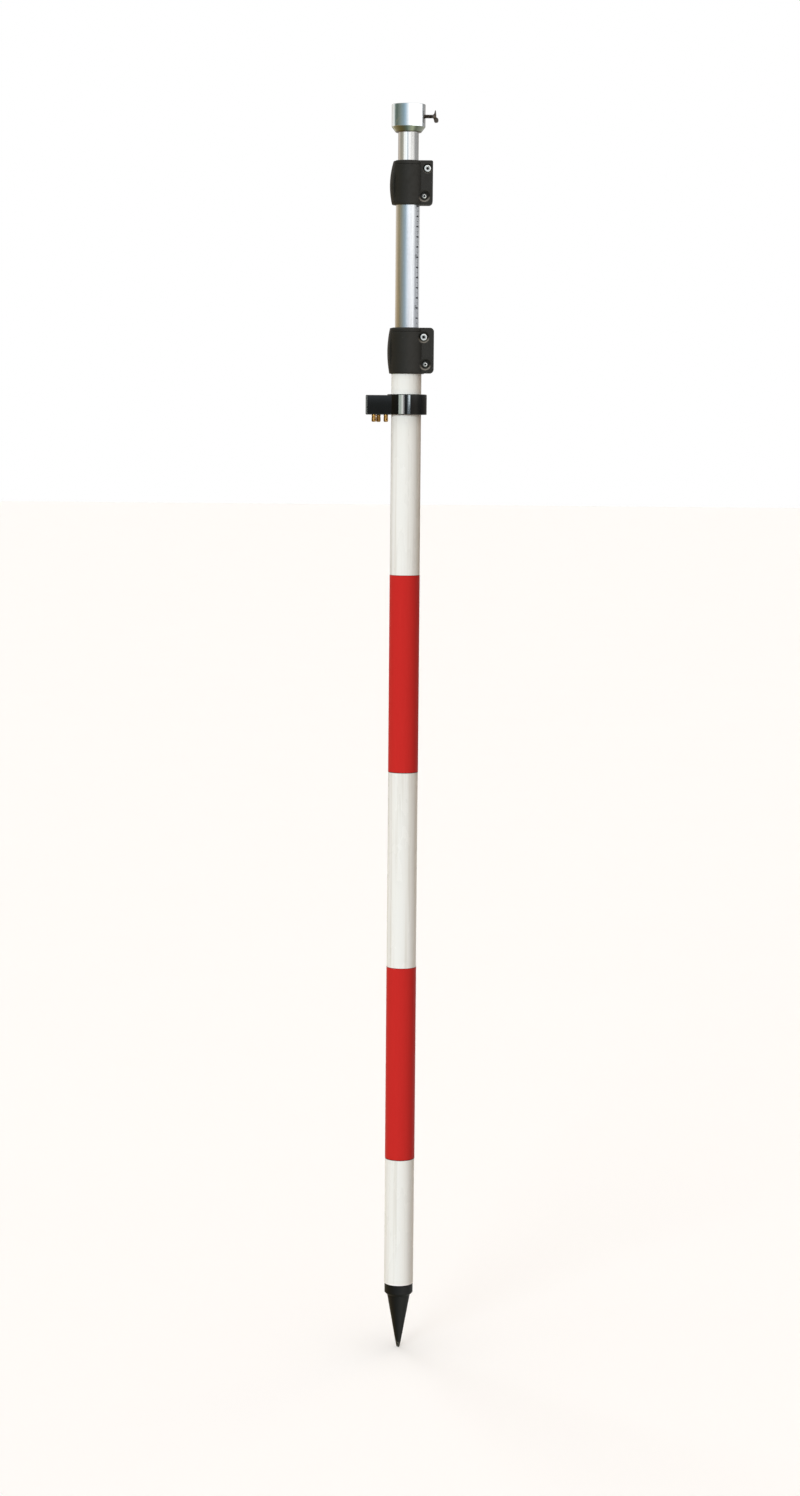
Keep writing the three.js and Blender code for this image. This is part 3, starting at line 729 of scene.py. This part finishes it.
def ground_point():
    high = span("pole_point")[1]
    collar_top = span("point_insert")[0].z - 0.3
    collar = high.x
    shape = [
        (1.2, 0, 0.5), (1.9, 0.8, 0.9), (11.8, 56.2, 0.6), (collar, 58.8, 0.8),
        (collar, collar_top, 0.5), (4.9, collar_top, 0.2), (4.9, high.z, 0.8),
    ]
    piece(lathe("ground_point", shape, 96), "lower_section", "black_paint", POWDER, "pole_point")


# ---------------- clamps

def clamp_heights(name):
    low, high = span(f"{name}_clamp_body")
    return low.z, high.z


def bolt_recess(node, mouth):
    """Cutter for the recess of a bolt head, with a wide rounded mouth in the ear's front face."""
    centre = middle(node)
    floor = EAR_FRONT - RECESS_DEPTH
    slope = EAR_FRONT - RECESS_FLARE
    shape = [
        (BOLT_RECESS, floor, 0.3), (BOLT_RECESS, slope, 0.8), (mouth, EAR_FRONT, 0.5),
        (mouth + 0.6, EAR_FRONT + 0.2), (mouth + 0.6, REACH),
    ]
    return across(lathe("recess", shape, 64), centre)


def clamp_body(name, c):
    bottom, top = clamp_heights(name)
    held = span(c["held"])[1].x
    sliding = span(c["sliding"])[1].x
    reach = span(f"{name}_clamp_body")[1].x
    core, front = c["core"], c["front"]
    body = lathe(f"{name}_clamp_moulding", [
        (core, bottom, 0.5), (core, top - 8, 4), (core - c["draw"], top, 0.6),
    ])
    band = top - 4.5
    shell = lathe("shell", [
        (front, bottom, 1.6), (front, band, 0.3), (front - 0.9, band + 0.3),
        (front - 0.9, band + 0.6), (front - 0.5, band + 0.8, 0.2), (front - 0.5, top, 1.8),
    ])
    sector = [Vector((0, 0))] + [around(c["seam"] - 1 - (c["seam"] + 89) * k / 12, REACH) for k in range(13)]
    shell = common(shell, prism("sector", sector, bottom - PAST, top + PAST))
    outline = rectangle(4, reach, bottom + c["ear_lift"], top, EAR_CORNER, c["ear_top_corner"])
    ears = facing_front(prism("ears", outline, -EAR_BACK, EAR_FRONT, 0.9))
    body = joined(body, shell, ears)
    step = bottom + GRIP_DEPTH
    lip = top - LIP
    mouth = sliding + 0.6
    seat = c["sleeve_outer"] + COLLAR_GAP
    bore = lathe("bore", [
        (held + 1.4, bottom - PAST), (held + COLLAR_GAP, bottom + 0.4, 0.3),
        (held + COLLAR_GAP, step), (seat, step), (seat, lip),
        (mouth, lip), (mouth, top - 0.5, 0.3), (mouth + 1.5, top + PAST),
    ], 128)
    slit = box("slit", (0, -SLIT / 2, bottom - PAST), (REACH, SLIT / 2, top + PAST))
    tools = [bore, slit]
    mouths = []
    for bolt, (shank, mouth_radius) in c["bolts"].items():
        node = f"{name}_{bolt}"
        centre = middle(node)
        tools.append(across(rod("hole", shank + 0.2, -REACH, REACH, 0), centre))
        tools.append(bolt_recess(node, mouth_radius))
        mouths.append((centre.x, centre.z, mouth_radius))
    body = cut(body, *tools)
    finish = moulded_black(f"{name}_clamp_black", mouths).material
    piece(body, c["body"], "clamp_black", finish, f"{name}_clamp_body")


def lever_section(c, bottom, top, back):
    """Section of the lever's shell: barrel-shaped outside, straight inside, moved inwards by back."""
    low, mid, high = c["lever_radii"]
    inner = c["core"] + 0.3
    bulge = mid - (low + high) / 2
    outer = []
    for k in range(25):
        t = k / 24
        outer.append((low + (high - low) * t + bulge * 4 * t * (1 - t), bottom + (top - bottom) * t))
    outer[0] += (0.9,)
    outer[-1] += (1.2,)
    loop = outer + [(inner - c["draw"], top, 0.3), (inner, top - 8, 3), (inner, bottom, 0.3)]
    return inset(fillet(loop, closed=True, steps=4), back)


def lever(name, c):
    bottom, top = clamp_heights(name)
    bottom += 0.3
    top -= 0.3
    pivot = middle(f"{name}_pivot_barrel")
    low, high = span(f"{name}_pivot_barrel")
    bolt_z = middle(f"{name}_cam_bolt").z
    mid_radius = c["lever_radii"][1]
    seam, degrees_per_mm = c["seam"], 180 / math.pi / mid_radius
    rounding = edge_levels(0, REACH, 1.0)
    angles = [(seam + along * degrees_per_mm, back) for along, back in rounding[: len(rounding) // 2]]
    angles += [(seam + 6 + (LEVER_END - seam - 6) * k / 60, 0.0) for k in range(61)]
    loops = []
    for angle, back in angles:
        loop = []
        for radius, z in lever_section(c, bottom, top, min(back, 0.55)):
            place = around(angle, radius)
            loop.append((place.x, place.y, z))
        loops.append(loop)
    shell = loft(f"{name}_lever_shell", loops)
    hub = moved(rod("hub", HUB_RADIUS, low.z, high.z, 0.5, 64), pivot.x, pivot.y - HUB_OFFSET)
    neck_outline = fillet([
        around(190, mid_radius - 0.9), around(203, c["core"] + 0.6),
        (pivot.x - 4, pivot.y - 2.2), (pivot.x, pivot.y + HUB_RADIUS - HUB_OFFSET - 0.1),
    ][::-1], closed=True)
    neck = prism("neck", neck_outline, low.z, high.z, 0.5)
    barrel_hole = moved(rod("barrel_hole", 3.15, low.z - PAST, high.z + PAST, 0, 48), pivot.x, pivot.y)
    gap = CAM_SHANK + 0.3
    slot_end = (pivot.x + 8, pivot.y + CAM_SHANK + 1, bolt_z + gap)
    slot = box("slot", (pivot.x - gap, pivot.y - 8, bolt_z - gap), slot_end)
    orient(shell)
    made = cut(joined(shell, orient(hub), orient(neck)), barrel_hole, slot)
    piece(made, c["lever"], "clamp_black", MOULDED, f"{name}_lever")


def ear_screw(clamp_name, bolt, finish, head_shape, seat_edge, key, key_depth, pitch, grooves=0):
    """Clamp screw: a turned head, knurled or plain, a hexagon for its key and a threaded shank."""
    node = f"{clamp_name}_{bolt}"
    c = CLAMPS[clamp_name]
    low, high = span(node)
    front, tip = -low.y, -high.y
    seat = EAR_FRONT - RECESS_DEPTH + 0.1
    rim = head_shape[0][0]
    corners = [(rim, seat, seat_edge)]
    corners += [(radius, front - depth, *rounding) for radius, depth, *rounding in head_shape]
    head = lathe(f"{node}_screw", corners, 72)
    head = cut(head, hexagon("key", key, front - key_depth, front + PAST))
    if grooves:
        knurl = []
        for i in range(grooves):
            groove = box("groove", (rim - 0.1, -0.07, seat + 0.4), (rim + 0.6, 0.07, front - 0.8))
            knurl.append(turned(groove, "Z", i * 360 / grooves))
        head = cut(head, gather("grooves", knurl))
    shank = threaded("shank", c["bolts"][bolt][0], pitch, tip, seat + 0.05)
    screw = gather(f"{node}_screw", [head, shank])
    piece(across(screw, (low + high) / 2), c["body"], "screw_steel", finish, node)


def clamp_screws(name, c):
    ear_screw(name, "cam_bolt", CAP_STEEL, CAP_HEAD, 0.2, 3.0, 2.2, SCREW_PITCH, grooves=36)
    ear_screw(name, "fixing_bolt", BUTTON_STEEL, BUTTON_HEAD, 0.1, 2.0, 1.3, FINE_PITCH)


def pivot_barrel(name, c):
    """Cross-drilled barrel nut with a driver slot in its top."""
    low, high = span(f"{name}_pivot_barrel")
    centre = (low + high) / 2
    barrel = moved(rod(f"{name}_barrel", 3.0, low.z, high.z, 0.4, 64), centre.x, centre.y)
    cross = across(rod("cross", CROSS_HOLE - 0.05, -REACH, REACH, 0, 32), middle(f"{name}_cam_bolt"))
    driver_end = (centre.x + 3.5, centre.y + 0.5, high.z + PAST)
    driver = box("driver", (centre.x - 3.5, centre.y - 0.5, high.z - 0.8), driver_end)
    piece(cut(barrel, cross, driver), c["body"], "screw_steel", ZINC, f"{name}_pivot_barrel")


def thrust_plate(name, c):
    """Upright steel plate that the cam bears on."""
    low, high = span(f"{name}_thrust_plate")
    outline = rectangle(low.x, high.x, low.z, high.z, 0.9)
    plate = prism(f"{name}_plate", outline, low.y, high.y, 0.2)
    plate.data.transform(Matrix(((1, 0, 0, 0), (0, 0, 1, 0), (0, 1, 0, 0), (0, 0, 0, 1))))
    hole = across(rod("hole", CROSS_HOLE, -REACH, REACH, 0, 32), middle(f"{name}_cam_bolt"))
    piece(cut(orient(plate), hole), c["body"], "screw_steel", ZINC, f"{name}_thrust_plate")


def fixing_nut(name, c):
    """Hexagon nut with bevelled corners."""
    low, high = span(f"{name}_fixing_nut")
    centre = (low + high) / 2
    height = high.y - low.y
    flats, corner = 5.5, 3.3
    nut = hexagon(f"{name}_nut", flats, 0, height)
    bevel = lathe("bevel", [(flats / 2, 0), (corner, 0.3), (corner, height - 0.3), (flats / 2, height)], 64)
    nut = cut(common(nut, bevel), rod("hole", FIXING_SHANK + 0.15, -PAST, height + PAST, 0, 32))
    nut = moved(facing_front(nut), centre.x, high.y, centre.z)
    piece(nut, c["body"], "screw_steel", ZINC, f"{name}_fixing_nut")


def grip_sleeve(name, c):
    """Split sleeve with a collar under the clamp's lip."""
    low, high = span(f"{name}_grip_sleeve")
    inner = span(c["sliding"])[1].x + 0.15
    outer = c["sleeve_outer"] - COLLAR_GAP
    shoulder = clamp_heights(name)[0] + GRIP_DEPTH + 0.3
    sleeve = lathe(f"{name}_sleeve", [
        (inner, low.z, 0.2), (c["skirt"], low.z, 0.2), (c["skirt"], shoulder), (outer, shoulder, 0.2),
        (outer, high.z, 0.4), (inner, high.z, 0.4),
    ], 96, closed=True)
    sleeve = cut(sleeve, box("split", (0, -0.8, low.z - PAST), (REACH, 0.8, high.z + PAST)))
    piece(sleeve, c["sleeve"], "acetal", ACETAL, f"{name}_grip_sleeve")


# ---------------- head socket and thumb screw

def head_socket():
    low, high = span("head_socket")
    outer, top = high.x, high.z
    bottom = SOCKET_BOTTOM
    floor = top - SOCKET_FLOOR
    tube = span("upper_tube")[1]
    spigot = tube.x - TUBE_WALL["upper_tube"] - 0.1
    seat = tube.z + 0.3
    body = lathe("head_socket_turning", [
        (spigot, low.z, 0.9), (spigot, seat, 0.1), (tube.x + 0.1, seat, 0.1),
        (tube.x + 0.1, bottom, 0.3), (SOCKET_NECK, bottom, 0.3), (outer, bottom + SOCKET_CHAMFER, 0.5),
        (outer, top, 0.5), (SOCKET_BORE + 0.6, top, 0.2), (SOCKET_BORE, top - 0.6, 0.2),
        (SOCKET_BORE, floor, 0.4),
    ], 144)
    screw_z = middle("thumb_screw_shank").z
    hole = lathe("screw_hole", [(2.1, 0), (2.1, outer - 0.4), (3.1, outer + 0.6), (3.1, REACH)], 48)
    body = cut(body, moved(facing_right(hole), 0, 0, screw_z))
    piece(body, "upper_section", "bright_socket", SOCKET_METAL, "head_socket")


def thumb_screw():
    low, high = span("thumb_screw_shank")
    z = (low.z + high.z) / 2
    shank = moved(facing_right(threaded("thumb_screw_thread", 1.95, SCREW_PITCH, low.x, high.x)), 0, 0, z)
    piece(shank, "thumb_screw", "dark_steel", DULL_STEEL, "thumb_screw_shank")
    low, high = span("thumb_screw_wing")
    start, end, hub_end = low.x, high.x, low.x + 3.2
    turn, thick = 15, 0.7
    slope = math.radians(turn)
    reach = ((high.z - low.z) / 2 - thick * math.sin(slope)) / math.cos(slope)
    hub = lathe("thumb_screw_wings", [(2.0, start, 0.2), (2.4, start + 0.6, 0.3), (1.8, hub_end, 0.5)], 48)
    outline = fillet([
        (-reach, start + 1.9, 0.3), (-1.0, start + 0.5, 1.0), (reach - 4.2, start + 0.4, 1.0),
        (reach, start + 1.4, 1.6), (reach, end, 2.1), (reach - 4.0, end, 2.0), (0.6, hub_end, 0.8),
        (-1.6, hub_end, 0.8), (-reach, start + 2.6, 0.3),
    ], closed=True, steps=8)
    wings = turned(prism("wings", outline, -thick, thick, 0.3), "X", 90)
    head = turned(joined(orient(hub), orient(wings)), "Z", turn)
    piece(moved(facing_right(head), 0, 0, z), "thumb_wing", "dark_steel", DULL_STEEL, "thumb_screw_wing")


# ---------------- level

def level_bracket():
    low, high = span("level_bracket")
    ring_outer, bottom, ring_top = high.x, low.z, high.z
    housing_top = ring_top - 1.0
    cup = middle("level_cup")
    housing_end, half_width = -8, 14.5
    pole_hole, hole_mouth = 15.4, 16.8
    outline = rectangle(low.x, housing_end, -half_width, half_width, 1.5)
    housing = prism("level_moulding", outline, bottom, housing_top, 0.7)
    collar = lathe("collar", [(ring_outer, bottom, 0.7), (ring_outer, ring_top, 0.9)], 144)
    body = joined(housing, collar)
    bore = lathe("bore", [
        (hole_mouth, bottom - PAST), (pole_hole, bottom + 0.4, 0.3), (pole_hole, ring_top - 0.4, 0.3),
        (hole_mouth, ring_top + PAST),
    ], 128)
    floor = span("level_rubber_ring")[0].z - 0.1
    wall, flare = CUP_RADIUS + 0.5, CUP_RADIUS + 1.3
    pocket = moved(lathe("pocket", [
        (wall, floor, 0.3), (wall, housing_top - 0.4, 0.3), (flare, housing_top + 0.4),
        (flare, REACH * 20),
    ], 96), cup.x, cup.y)
    tools = [bore, pocket]
    for i in (1, 2, 3):
        at = middle(f"level_screw_{i}")
        tools.append(moved(lathe("hole", [
            (2.5, bottom - PAST), (1.6, bottom + 0.3), (1.6, floor + PAST),
        ], 32), at.x, at.y))
    at = middle("level_clamp_screw")
    hole = lathe("clamp_hole", [
        (3.2, -REACH), (3.2, 0.5 - ring_outer), (2.1, 1.2 - ring_outer), (2.1, -14),
    ], 32)
    tools.append(moved(facing_front(hole), 0, 0, at.z))
    piece(cut(body, *tools), "level_bracket", "level_black", GLOSS, "level_bracket")
    low, high = span("level_clamp_screw")
    grub = threaded("grub", 2.0, SCREW_PITCH, -high.y, -low.y)
    grub = cut(orient(grub), hexagon("drive", 2.0, -high.y - PAST, 2 - high.y))
    piece(moved(facing_front(grub), 0, 0, at.z), "level_bracket", "screw_steel", ZINC, "level_clamp_screw")


def level_vial():
    cup = middle("level_cup")

    def add(obj, slot, material, *nodes, body="level_cup"):
        piece(moved(obj, cup.x, cup.y), body, slot, material, *nodes)

    low, high = span("level_cup")
    wall, floor = VIAL_RADIUS + 0.2, low.z + 3.4
    add(lathe("level_cup_turning", [
        (CUP_RADIUS, low.z, 0.4), (CUP_RADIUS, high.z, 0.2), (wall, high.z, 0.2),
        (wall, floor, 0.3),
    ]), "cup_metal", CUP_METAL, "level_cup")
    low, high = span("level_bezel")
    opening = 7.1
    add(lathe("level_bezel_ring", [
        (opening, low.z, 0.1), (CUP_RADIUS, low.z, 0.1), (CUP_RADIUS, high.z, 0.6), (8.0, high.z, 0.3),
        (opening, high.z - 0.9, 0.2),
    ], 96, closed=True), "cup_metal", CUP_METAL, "level_bezel")
    low, high = span("level_vial")
    shoulder, neck = high.z - 1.5, opening - 0.2
    add(lathe("level_vial_dome", [
        (VIAL_RADIUS, low.z, 0.2), (VIAL_RADIUS, shoulder, 0.1), (neck, shoulder),
        (neck, high.z - 0.7, 0.3), (5.0, high.z - 0.3, 6), (2.5, high.z - 0.05, 6), (0, high.z),
    ]), "vial_glass", GLASS, "level_vial")
    low, high = span("level_liquid")
    top = high.z
    fluid = rod("level_fluid_disc", VIAL_RADIUS, low.z, top, 0.1, 96)
    add(fluid, "vial_liquid", FLUID, "level_liquid")
    add(ring("level_centre_circle", 2.9, 2.6, top + 0.02, top + 0.08, 0.01, 72), "rubber", INK)
    bubble = lathe("level_bubble", [(1.9, top + 0.01, 0.1), (2.0, top + 0.07, 0.1), (0, top + 0.16)], 72)
    add(moved(bubble, 0.4, -0.3), "vial_glass", GLASS)
    low, high = span("level_rubber_ring")
    washer = ring("level_rubber_washer", CUP_RADIUS, 8.7, low.z, high.z, 0.3)
    add(washer, "rubber", RUBBER, "level_rubber_ring", body="level_bracket")


def level_screws():
    for i in (1, 2, 3):
        node = f"level_screw_{i}"
        low, high = span(node)
        at = (low + high) / 2
        head_top = span("level_bracket")[0].z - 0.1
        screw = lathe(f"{node}_turning", [
            (2.25, low.z, 1.1), (2.25, low.z + 4.6, 0.2), (2.0, low.z + 4.9, 0.1),
            (2.0, low.z + 5.5, 0.1), (2.25, low.z + 5.8, 0.2), (2.25, head_top, 0.3), (1.4, head_top),
            (1.4, high.z, 0.3),
        ], 48)
        pins = []
        for angle in (0, 90):
            pin = facing_front(rod("pin", 0.65, -REACH, REACH, 0, 24))
            pins.append(moved(turned(pin, "Z", angle + 20 * i), 0, 0, low.z + 2.7))
        slot = turned(box("slot", (-3, -0.3, low.z - 1), (3, 0.3, low.z + 0.7)), "Z", 35 * i)
        screw = cut(screw, *pins, slot)
        piece(moved(screw, at.x, at.y), node, "brass", BRASS, node)


# ---------------- printed numerals

def numeral(reading, radius, side, z):
    """One reading, wrapped on a tube: it is drawn flat, sliced into strips and bent round."""
    ink_height, strip = 0.03, 0.3
    curve = bpy.data.curves.new("reading", "FONT")
    curve.body, curve.size, curve.extrude = str(reading), 3.6 * MM, ink_height * MM
    curve.align_x, curve.align_y, curve.resolution_u = "CENTER", "CENTER", 3
    text = in_scene("reading", curve)
    bpy.context.view_layer.update()
    drawn = text.evaluated_get(bpy.context.evaluated_depsgraph_get())
    mesh = bpy.data.meshes.new_from_object(drawn)
    bpy.data.objects.remove(text)
    work = bmesh.new()
    work.from_mesh(mesh)
    for k in range(-12, 13):
        everything = work.verts[:] + work.edges[:] + work.faces[:]
        bmesh.ops.bisect_plane(work, geom=everything, plane_co=(0, k * strip * MM, 0), plane_no=(0, 1, 0))
    for vert in work.verts:
        out = radius * MM + ink_height * MM + vert.co.z
        turn = side - vert.co.y / (radius * MM)
        vert.co = Vector((out * math.sin(turn), -out * math.cos(turn), z * MM + vert.co.x))
    work.to_mesh(mesh)
    work.free()
    return in_scene("reading", mesh)


def numerals(name, node, body):
    """Height readings in centimetres, beside the tube's scale, from its top mark downwards."""
    low, high = span(node)
    side = math.radians(NUMERAL_ANGLE[node])
    reading, z = SCALE_TOP_READING, SCALE_ZERO
    while z + NUMERAL_STEP < high.z - 8:
        z += NUMERAL_STEP
        reading -= NUMERAL_STEP // 10
    texts = []
    while z > low.z + 30:
        texts.append(numeral(reading, high.x, side, z))
        z -= NUMERAL_STEP
        reading += NUMERAL_STEP // 10
    piece(gather(name, texts), body, "rubber", INK)


# ---------------- studio

def aim(azimuth, elevation=0.0):
    """Unit vector towards a place round the pole: 0 is the front, 90 the right, -90 the left."""
    turn, rise = math.radians(azimuth), math.radians(elevation)
    return Vector((math.sin(turn) * math.cos(rise), -math.cos(turn) * math.cos(rise), math.sin(rise)))


def surroundings():
    """White to the eye, an even warm grey for soft light, and in reflections a studio of dark and bright
    walls: one set for rays that rise little, from the middle tube, and one for the steeper ones above it.
    """
    world = bpy.data.worlds.new("studio")
    bpy.context.scene.world = world
    world.use_nodes = True
    g = Graph(world.node_tree, "Generated")

    def fields(value, low, high, stops):
        """Colours between the stops, which are given in the value's own unit."""
        place = g.node("ShaderNodeMapRange")
        for socket, number in zip(place.inputs, (value, low, high)):
            g.put(socket, number)
        made = g.node("ShaderNodeValToRGB")
        g.put(made.inputs[0], place.outputs[0])
        ramp = made.color_ramp.elements
        places = [(at - low) / (high - low) for at, _ in stops]
        peak = max(max(color) for _, color in stops)
        for at in places[1:-1]:
            ramp.new(at)
        for element, at, (_, color) in zip(ramp, places, stops):
            element.position = at
            element.color = (*(channel / peak for channel in color), 1.0)
        return g.mix(1.0, made.outputs[0], (peak, peak, peak, 1.0), "MULTIPLY")

    turn, rise = g.math("DEGREES", g.bearing()), g.axis("Z")
    low_fields = fields(turn, -180, 180, [
        (-180, (0.9, 0.88, 0.86)), (-150, (0.95, 0.82, 0.64)), (-112, (0.68, 0.5, 0.28)),
        (-85, (0.58, 0.43, 0.22)), (-58, (0.46, 0.43, 0.35)), (-30, (0.52, 0.6, 0.63)),
        (-18, (0.6, 0.72, 0.81)), (-4, (1.0, 1.15, 1.3)), (20, (1.4, 1.43, 1.52)), (35, (1.8, 1.8, 1.8)),
        (55, (2.0, 2.0, 2.0)), (75, (1.0, 1.02, 1.05)), (88, (0.66, 0.67, 0.7)), (104, (0.85, 0.86, 0.88)),
        (180, (0.9, 0.88, 0.86)),
    ])
    high_fields = fields(turn, -180, 180, [
        (-180, (0.6, 0.55, 0.5)), (-125, (0.6, 0.56, 0.52)), (-105, (0.22, 0.28, 0.26)),
        (-88, (0.1, 0.15, 0.13)), (-60, (0.24, 0.3, 0.27)), (-34, (0.3, 0.42, 0.47)),
        (-20, (0.5, 0.66, 0.78)), (-8, (0.95, 1.03, 1.08)), (6, (1.6, 1.6, 1.6)), (20, (1.5, 1.5, 1.5)),
        (34, (1.0, 1.0, 1.0)), (58, (1.0, 1.0, 1.0)), (80, (0.42, 0.42, 0.42)), (130, (0.35, 0.35, 0.35)),
        (180, (0.6, 0.55, 0.5)),
    ])
    round_about = g.mix(g.span(rise, 0.08, 0.09), low_fields, high_fields)
    up_and_down = fields(rise, -1, 1, [
        (-0.8, (0.45, 0.47, 0.38)), (-0.5, (0.7, 0.7, 0.66)), (-0.15, (0.8, 0.8, 0.78)),
        (-0.09, (0.2, 0.19, 0.17)), (0.016, (0.2, 0.19, 0.17)), (0.034, (1.0, 1.0, 1.0)),
    ])
    walls = g.mix(1.0, round_about, up_and_down, "MULTIPLY")
    reflected = g.mix(g.span(rise, 0.45, 0.85), walls, (0.9, 0.9, 0.9, 1.0))
    ray = g.node("ShaderNodeLightPath")
    shown = g.mix(ray.outputs["Is Diffuse Ray"], reflected, (0.26, 0.205, 0.155, 1.0))
    shown = g.mix(ray.outputs["Is Camera Ray"], shown, (1.0, 1.0, 1.0, 1.0))
    g.put(g.tree.nodes["Background"].inputs["Color"], shown)


def floor():
    """Pale floor that sends no light of its own back on the pole."""
    half = 40000
    corners = [(-half, -half, 0), (half, -half, 0), (half, half, 0), (-half, half, 0)]
    plate = make("studio_floor", corners, [(0, 1, 2, 3)])
    f = Finish("studio_floor", (247, 248, 249), 0.9)
    f.tint(f.noise(3, detail=3), 0.3, 0.8, 0.3, (249, 250, 251))
    plate.data.materials.append(f.material)
    plate.visible_diffuse = plate.visible_glossy = False


def place_light(name, data, position, towards, color, glossy):
    data.color = color
    light = in_scene(name, data)
    light.location = position
    light.rotation_mode = "QUATERNION"
    light.rotation_quaternion = (Vector(towards) - Vector(position)).to_track_quat("-Z", "Y")
    light.visible_camera = False
    light.visible_glossy = glossy
    return light


def distant_light(name, azimuth, elevation, softness, power, color):
    """Even light from one side over the whole length of the pole."""
    data = bpy.data.lights.new(name, "SUN")
    data.energy, data.angle = power, math.radians(softness)
    return place_light(name, data, 8 * aim(azimuth, elevation), (0, 0, 0), color, False)


def window(name, from_azimuth, to_azimuth, radiance, tint, receivers, heights=(0.3, 1.9)):
    """Tall bright window between two bearings, seen only as a reflection in the named pieces."""
    distance = 2.4
    width = 2 * distance * math.tan(math.radians(to_azimuth - from_azimuth) / 2)
    height = heights[1] - heights[0]
    data = bpy.data.lights.new(name, "AREA")
    data.shape, data.size, data.size_y = "RECTANGLE", width, height
    data.energy = radiance * math.pi * width * height
    centre = Vector((0, 0, sum(heights) / 2))
    position = distance * aim((from_azimuth + to_azimuth) / 2) + centre
    light = place_light(name, data, position, centre, tint, True)
    light.visible_diffuse = False
    shown = bpy.data.collections.new(f"{name}_receivers")
    for receiver in receivers:
        shown.objects.link(bpy.data.objects[receiver])
    light.light_linking.receiver_collection = shown


def lights():
    distant_light("key", -25, 8, 26, 2.55, (0.9, 1.0, 1.06))
    distant_light("rear_right", 140, 15, 30, 0.5, (1.0, 0.78, 0.54))
    distant_light("rear_left", -150, 15, 30, 1.1, (0.97, 0.98, 1.0))
    distant_light("overhead", 0, 90, 85, 1.85, (1.0, 1.0, 1.0))
    bracket, tube, socket = ["level_moulding"], ["upper_tube_skin"], ["head_socket_turning"]
    screws = [f"level_screw_{i}_turning" for i in (1, 2, 3)]
    tall = (0.3, 2.4)
    window("window_left", -43, -27, 9.4, (0.88, 1.0, 0.9), bracket)
    window("window_middle", -27, -17, 14.5, (0.97, 1.0, 0.96), bracket)
    window("window_edge", -17, -10, 5.8, (1.0, 0.96, 0.97), bracket)
    window("window_right", 6, 23, 2.6, (0.72, 0.88, 1.0), bracket)
    window("window_glint", 12, 22, 14.0, (0.85, 0.95, 1.0), bracket, (1.004, 1.5))
    window("window_screws", -30, -14, 2.2, (1.0, 0.97, 0.9), screws)
    window("window_tube", -55, -15, 1.0, (1.0, 0.97, 0.95), tube, tall)
    window("window_tube_edge", -130, -55, 0.25, (1.0, 0.85, 0.75), tube, tall)
    window("window_socket", 24, 106, 1.15, (1.0, 1.0, 1.0), socket, tall)
    window("window_socket_edge", -150, -108, 0.45, (0.95, 1.0, 1.0), socket, tall)


def camera():
    """Seen from straight in front, a little above the middle, tilted down and turned by half a degree."""
    data = bpy.data.cameras.new("camera")
    data.lens, data.sensor_width = 69.65, 36
    data.clip_start, data.clip_end = 0.05, 60
    view = in_scene("camera", data)
    down, roll = math.radians(6.052), math.radians(0.493)
    side, distance, height = -0.00324, 2.921, 0.934
    tilt = Matrix.Rotation(math.pi / 2 - down, 4, "X") @ Matrix.Rotation(roll, 4, "Z")
    view.matrix_world = Matrix.Translation((side, -distance, height)) @ tilt
    bpy.context.scene.camera = view


# ---------------- build

section_tube("lower_tube", "lower_section", "white_paint", WHITE)
section_tube("mid_tube", "mid_section", "bright_tube", MID_METAL)
section_tube("upper_tube", "upper_section", "bright_tube", UPPER_METAL)
red_bands()
ground_point()
for clamp_name, clamp in CLAMPS.items():
    for build in (clamp_body, lever, clamp_screws, pivot_barrel, thrust_plate, fixing_nut, grip_sleeve):
        build(clamp_name, clamp)
head_socket()
thumb_screw()
level_bracket()
level_vial()
level_screws()
numerals("mid_scale_numerals", "mid_tube", "mid_section")
numerals("upper_scale_numerals", "upper_tube", "upper_section")

for hidden, finish in {
    "point_insert": CUP_METAL, "lower_bumper": RUBBER, "mid_guide_sleeve": ACETAL, "mid_end_plug": ACETAL,
    "mid_bumper": RUBBER, "upper_guide_sleeve": ACETAL, "upper_end_plug": ACETAL,
}.items():
    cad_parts[hidden].material_slots[0].material = finish

surroundings()
floor()
lights()
camera()
bpy.context.scene.view_settings.view_transform = "Standard"
bpy.context.scene.view_settings.look = "None"
